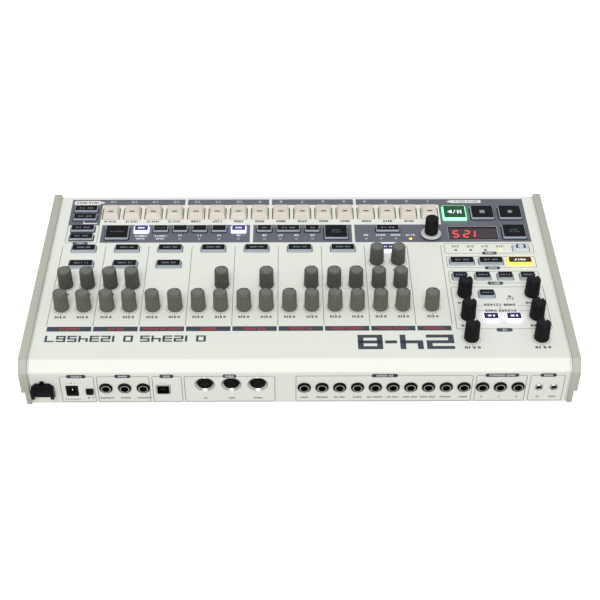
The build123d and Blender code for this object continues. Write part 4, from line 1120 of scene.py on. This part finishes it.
def display_digits():
    """Seven-segment digits on the glass, its shaded rear strip and the gasket around it."""
    digits = Shape()
    glass = glass_box[1].z
    low, high = window_box
    bar(digits, low.x, high.x, high.y - GLASS_SHADE, high.y, FILTER_SHADE, glass + GLASS_RISES[0])
    gasket = moved(square(*(size - 2 * GASKET_GAP for size in window_size)), *window_middle)
    skin(digits, [ring(gasket, glass + GLASS_RISES[1]), ring(gasket, GASKET_TOP)], FILTER_SHADE, top=False)
    lean = Matrix.Identity(4)
    lean[0][1] = DIGIT_LEAN
    for number, text in enumerate(DISPLAY_TEXT):
        place = at(DIGIT_FIRST + DIGIT_PITCH * number, window_middle[1] + DIGIT_SHIFT) @ lean
        for name, (sx, sy, upright, span) in segment_places(*DIGIT).items():
            half, thick = span / 2 - SEGMENT_GAP, SEGMENT_HALF
            bead = [(-half, 0), (-half + thick, -thick), (half - thick, -thick), (half, 0),
                    (half - thick, thick), (-half + thick, thick)]
            if upright:
                bead = [(-y, x) for x, y in bead]
            flat(digits, moved(bead, sx, sy), RED_LIGHT if name in SEGMENTS[text] else UNLIT,
                 height=glass + GLASS_RISES[2], place=place)
    digits.piece("display_digits", PANEL, "case")


# ---- Rear wall ----
def housing(shape, outline, bore, front, floor, body, place):
    """Block behind or through the wall with one blind hole in its outer face."""
    skin(shape, [ring(outline, BACK), ring(outline, front)], body, place, bottom=True, top=False)
    flat(shape, outline, body, [bore], front, place)
    skin(shape, [ring(bore, front), ring(bore, floor)], HOLE, place)


nut_boxes = [(low, high) for low, high in solids("audio_jacks", REAR) if low.z > NUT_BACK]
socket_boxes = solids("rear_sockets", REAR)
shells = [(low, high) for low, high in socket_boxes if low.z > SHELL_BACK]
blocks = [(low, high) for low, high in socket_boxes if low.z < SHELL_BACK and high.x - low.x < BLOCK_WIDTH]


def audio_jack_details():
    """Quarter-inch jacks with black nuts around a bright ring, and small jacks with bright nuts."""
    jacks = Shape()
    for low, high in nut_boxes:
        place = at(*middle(low, high))
        if high.x - low.x > JACK_WIDTH:
            housing(jacks, square(JACK_BODY, JACK_BODY), circle(JACK_BORE), WALL, JACK_FLOOR, BLACK, place)
            bands = [BLACK, BLACK, NICKEL, HOLE, HOLE]
            turned(jacks, JACK_SLEEVE, bands, JACK_SIDES, place, top=False)
            turned(jacks, JACK_NUT, BLACK, JACK_SIDES, place, top=False)
        else:
            housing(jacks, square(MINI_BODY, MINI_BODY), circle(MINI_BORE), WALL, MINI_FLOOR, BLACK, place)
            bands = [NICKEL, NICKEL, BLACK, NICKEL, HOLE]
            turned(jacks, MINI_SLEEVE, bands, MINI_SIDES, place, top=False)
            turned(jacks, MINI_NUT, NICKEL, MINI_SIDES, place, top=False)
    jacks.piece("audio_jack_details", REAR, "case", "socket_black", ["audio_jacks"])


def five_pin_socket(shape, place):
    """Shell with a bright edge and an insert with five holes."""
    angles = [PIN_STEP * n for n in range(PIN_COUNT)]
    pin = circle(PIN_RADIUS, PIN_SIDES)
    pins = [moved(pin, PIN_CIRCLE * math.cos(a), PIN_CIRCLE * math.sin(a)) for a in angles]
    hole = circle(SHELL_HOLE, SHELL_SIDES)
    housing(shape, square(SHELL_BODY, SHELL_BODY), hole, WALL, SHELL_FLOOR, BLACK, place)
    turned(shape, SHELL, NICKEL, SHELL_SIDES, place, top=False)
    turned(shape, INSERT, BLACK, SHELL_SIDES, place, top=False)
    flat(shape, circle(INSERT_RADIUS, SHELL_SIDES), BLACK, pins, INSERT_FACE, place)
    for pin in pins:
        skin(shape, [ring(pin, INSERT_FACE), ring(pin, PIN_FLOOR)], HOLE, place)


def rear_socket_details():
    """Five-pin sockets, then the data socket, the power inlet and the switch's housing."""
    sockets = Shape()
    for box in shells:
        five_pin_socket(sockets, at(*middle(*box)))
    for low, high in blocks:
        place = at(*middle(low, high))
        if high.x - low.x > DATA_WIDTH:
            housing(sockets, rounded(*DATA_BODY), rounded(*DATA_HOLE), PROUD, DATA_FLOOR, NICKEL, place)
            tongue = rounded(*DATA_TONGUE)
            skin(sockets, [ring(tongue, DATA_FLOOR), ring(tongue, TONGUE_END)], BLACK, place)
        elif high.z > 0:
            housing(sockets, rounded(*POWER_BODY), circle(POWER_BORE), PROUD, POWER_FLOOR, BLACK, place)
            turned(sockets, POWER_PIN, NICKEL, POWER_SIDES, place)
        else:
            housing(sockets, square(*SWITCH_BODY), square(*SWITCH_HOLE), WALL, POWER_FLOOR, BLACK, place)
    sockets.piece("rear_socket_details", REAR, "case", "socket_black", ["rear_sockets"])


def rear_marks():
    """Frames with tags, and words under and over the sockets."""
    marks = Shape()
    jack_places = sorted(middle(*box)[0] for box in nut_boxes)
    for x0, x1, words, width, labels in REAR_FRAMES:
        outlined(marks, x0, x1, *REAR_FRAME_LINES, REAR_INK)
        centre = (x0 + x1) / 2
        tag(marks, centre - width / 2, centre + width / 2, *REAR_TAG_LINES, words, DARK_INK)
        for x, (label, length) in zip((x for x in jack_places if x0 < x < x1), labels):
            note(marks, label, x, JACK_LINE, length, GREY_INK, JACK_LETTER)
    for x, (label, length) in zip(sorted(middle(*box)[0] for box in shells), SHELL_WORDS):
        note(marks, label, x, SHELL_LINE, length, GREY_INK, JACK_LETTER)
    for low, high in blocks:
        x = middle(low, high)[0]
        if high.z <= 0:
            letters(marks, "0  1", x, SWITCH_LINE, SIGN_HEIGHT, DARK_INK)
        elif high.x - low.x > DATA_WIDTH:
            letters(marks, "- . -", x, SIGN_LINE, SIGN_HEIGHT, DARK_INK)
        else:
            letters(marks, "- + -", x, SIGN_LINE, SIGN_HEIGHT, DARK_INK)
            words, width = POWER_WORDS
            letters(marks, words, x, POWER_LINE, POWER_LETTER, GREY_INK, width=width, weight=MEDIUM)
    marks.piece("rear_marks", REAR, "case", "panel_print")


# ---- Sub-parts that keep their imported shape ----
def softened(node, width, material, body="case"):
    """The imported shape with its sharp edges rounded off."""
    bm = bmesh.new()
    bm.from_mesh(frame["nodes"][node].data)
    bmesh.ops.remove_doubles(bm, verts=bm.verts, dist=WELD)
    bmesh.ops.dissolve_limit(bm, angle_limit=COPLANAR, verts=bm.verts, edges=bm.edges)
    sharp = [e for e in bm.edges if len(e.link_faces) == 2 and e.calc_face_angle() > EASED]
    bmesh.ops.bevel(bm, geom=sharp, offset=width * MM, segments=2, profile=0.5, affect="EDGES",
                    clamp_overlap=True)
    mesh = bpy.data.meshes.new(f"{node}_softened")
    bm.to_mesh(mesh)
    bm.free()
    mesh.materials.append(material)
    mesh.shade_smooth()
    mesh.set_sharp_from_angle(angle=CREASE)
    put(mesh, f"{node}_softened", body, [node])


def case_parts():
    """Eased edges on the mouldings, and materials for the nodes that stay as they are."""
    softened("left_cheek", 0.5, CHEEK)
    softened("right_cheek", 0.5, CHEEK)
    softened("cable_hook", 0.4, BLACK)
    softened("power_button", 0.4, BLACK, "power_button")
    softened("rubber_feet", 0.6, RUBBER)
    for node, material in (("top_cover", PAINT), ("bottom_tray", TRAY), ("control_board", SOLDER_MASK),
                           ("jack_board", SOLDER_MASK), ("board_spacers", BRASS), ("case_screws", STEEL),
                           ("potentiometers", POT), ("key_switches", SWITCH), ("display", FILTER)):
        frame["nodes"][node].data.materials[0] = material


# ---- Camera, light and background ----
def set_camera():
    camera = bpy.data.cameras.new("camera")
    camera.lens, camera.sensor_width = LENS, SENSOR
    eye = linked("camera", camera)
    eye.location = EYE_PLACE
    eye.rotation_euler = [math.radians(a) for a in EYE_TURN]
    bpy.context.scene.camera = eye


def set_room():
    """White to the camera, and a dimmer light on the machine."""
    world = bpy.data.worlds.new("white_room")
    bpy.context.scene.world = world
    world.use_nodes = True
    nodes, links = world.node_tree.nodes, world.node_tree.links
    nodes.clear()
    choice = nodes.new("ShaderNodeMixShader")
    links.new(nodes.new("ShaderNodeLightPath").outputs["Is Camera Ray"], choice.inputs[0])
    for socket, (shade, strength) in enumerate(((ROOM_SHADE, ROOM_LIGHT), (WHITE, ROOM_SEEN)), start=1):
        light = nodes.new("ShaderNodeBackground")
        light.inputs["Color"].default_value = shade
        light.inputs["Strength"].default_value = strength
        links.new(light.outputs[0], choice.inputs[socket])
    links.new(choice.outputs[0], nodes.new("ShaderNodeOutputWorld").inputs["Surface"])


def set_window_light():
    sun = bpy.data.lights.new("window_light", "SUN")
    sun.energy = SUN_STRENGTH
    sun.angle = math.radians(SUN_WIDTH)
    lamp = linked("window_light", sun)
    lamp.rotation_euler = [math.radians(a) for a in SUN_TURN]


def set_floor():
    """Floor that shows the machine's shadow and is nearly white to the camera."""
    material = bpy.data.materials.new("floor")
    material.use_nodes = True
    nodes, links = material.node_tree.nodes, material.node_tree.links
    shader = nodes["Principled BSDF"]
    shader.inputs["Base Color"].default_value = (FLOOR_SHADE, FLOOR_SHADE, FLOOR_SHADE, 1)
    shader.inputs["Roughness"].default_value = 1
    shader.inputs["Specular IOR Level"].default_value = 0
    shader.inputs["Emission Color"].default_value = WHITE
    glow = nodes.new("ShaderNodeMapRange")
    glow.inputs["To Min"].default_value = 0
    glow.inputs["To Max"].default_value = FLOOR_GLOW
    links.new(nodes.new("ShaderNodeLightPath").outputs["Is Camera Ray"], glow.inputs["Value"])
    links.new(glow.outputs["Result"], shader.inputs["Emission Strength"])
    mesh = bpy.data.meshes.new("floor")
    corners = square(2 * FLOOR_HALF, 2 * FLOOR_HALF)
    mesh.from_pydata(ring(corners, 0), [], [(0, 1, 2, 3)])
    mesh.materials.append(material)
    floor = linked("floor", mesh)


for part in (step_caps, transport_and_track_caps, voice_select_caps, mode_caps, function_caps, knob_caps,
             dial_cap, colour_fields, panel_marks, light_lenses, display_digits, audio_jack_details,
             rear_socket_details, rear_marks, case_parts, set_camera, set_room, set_window_light, set_floor):
    part()
bpy.context.scene.view_settings.view_transform = "Standard"
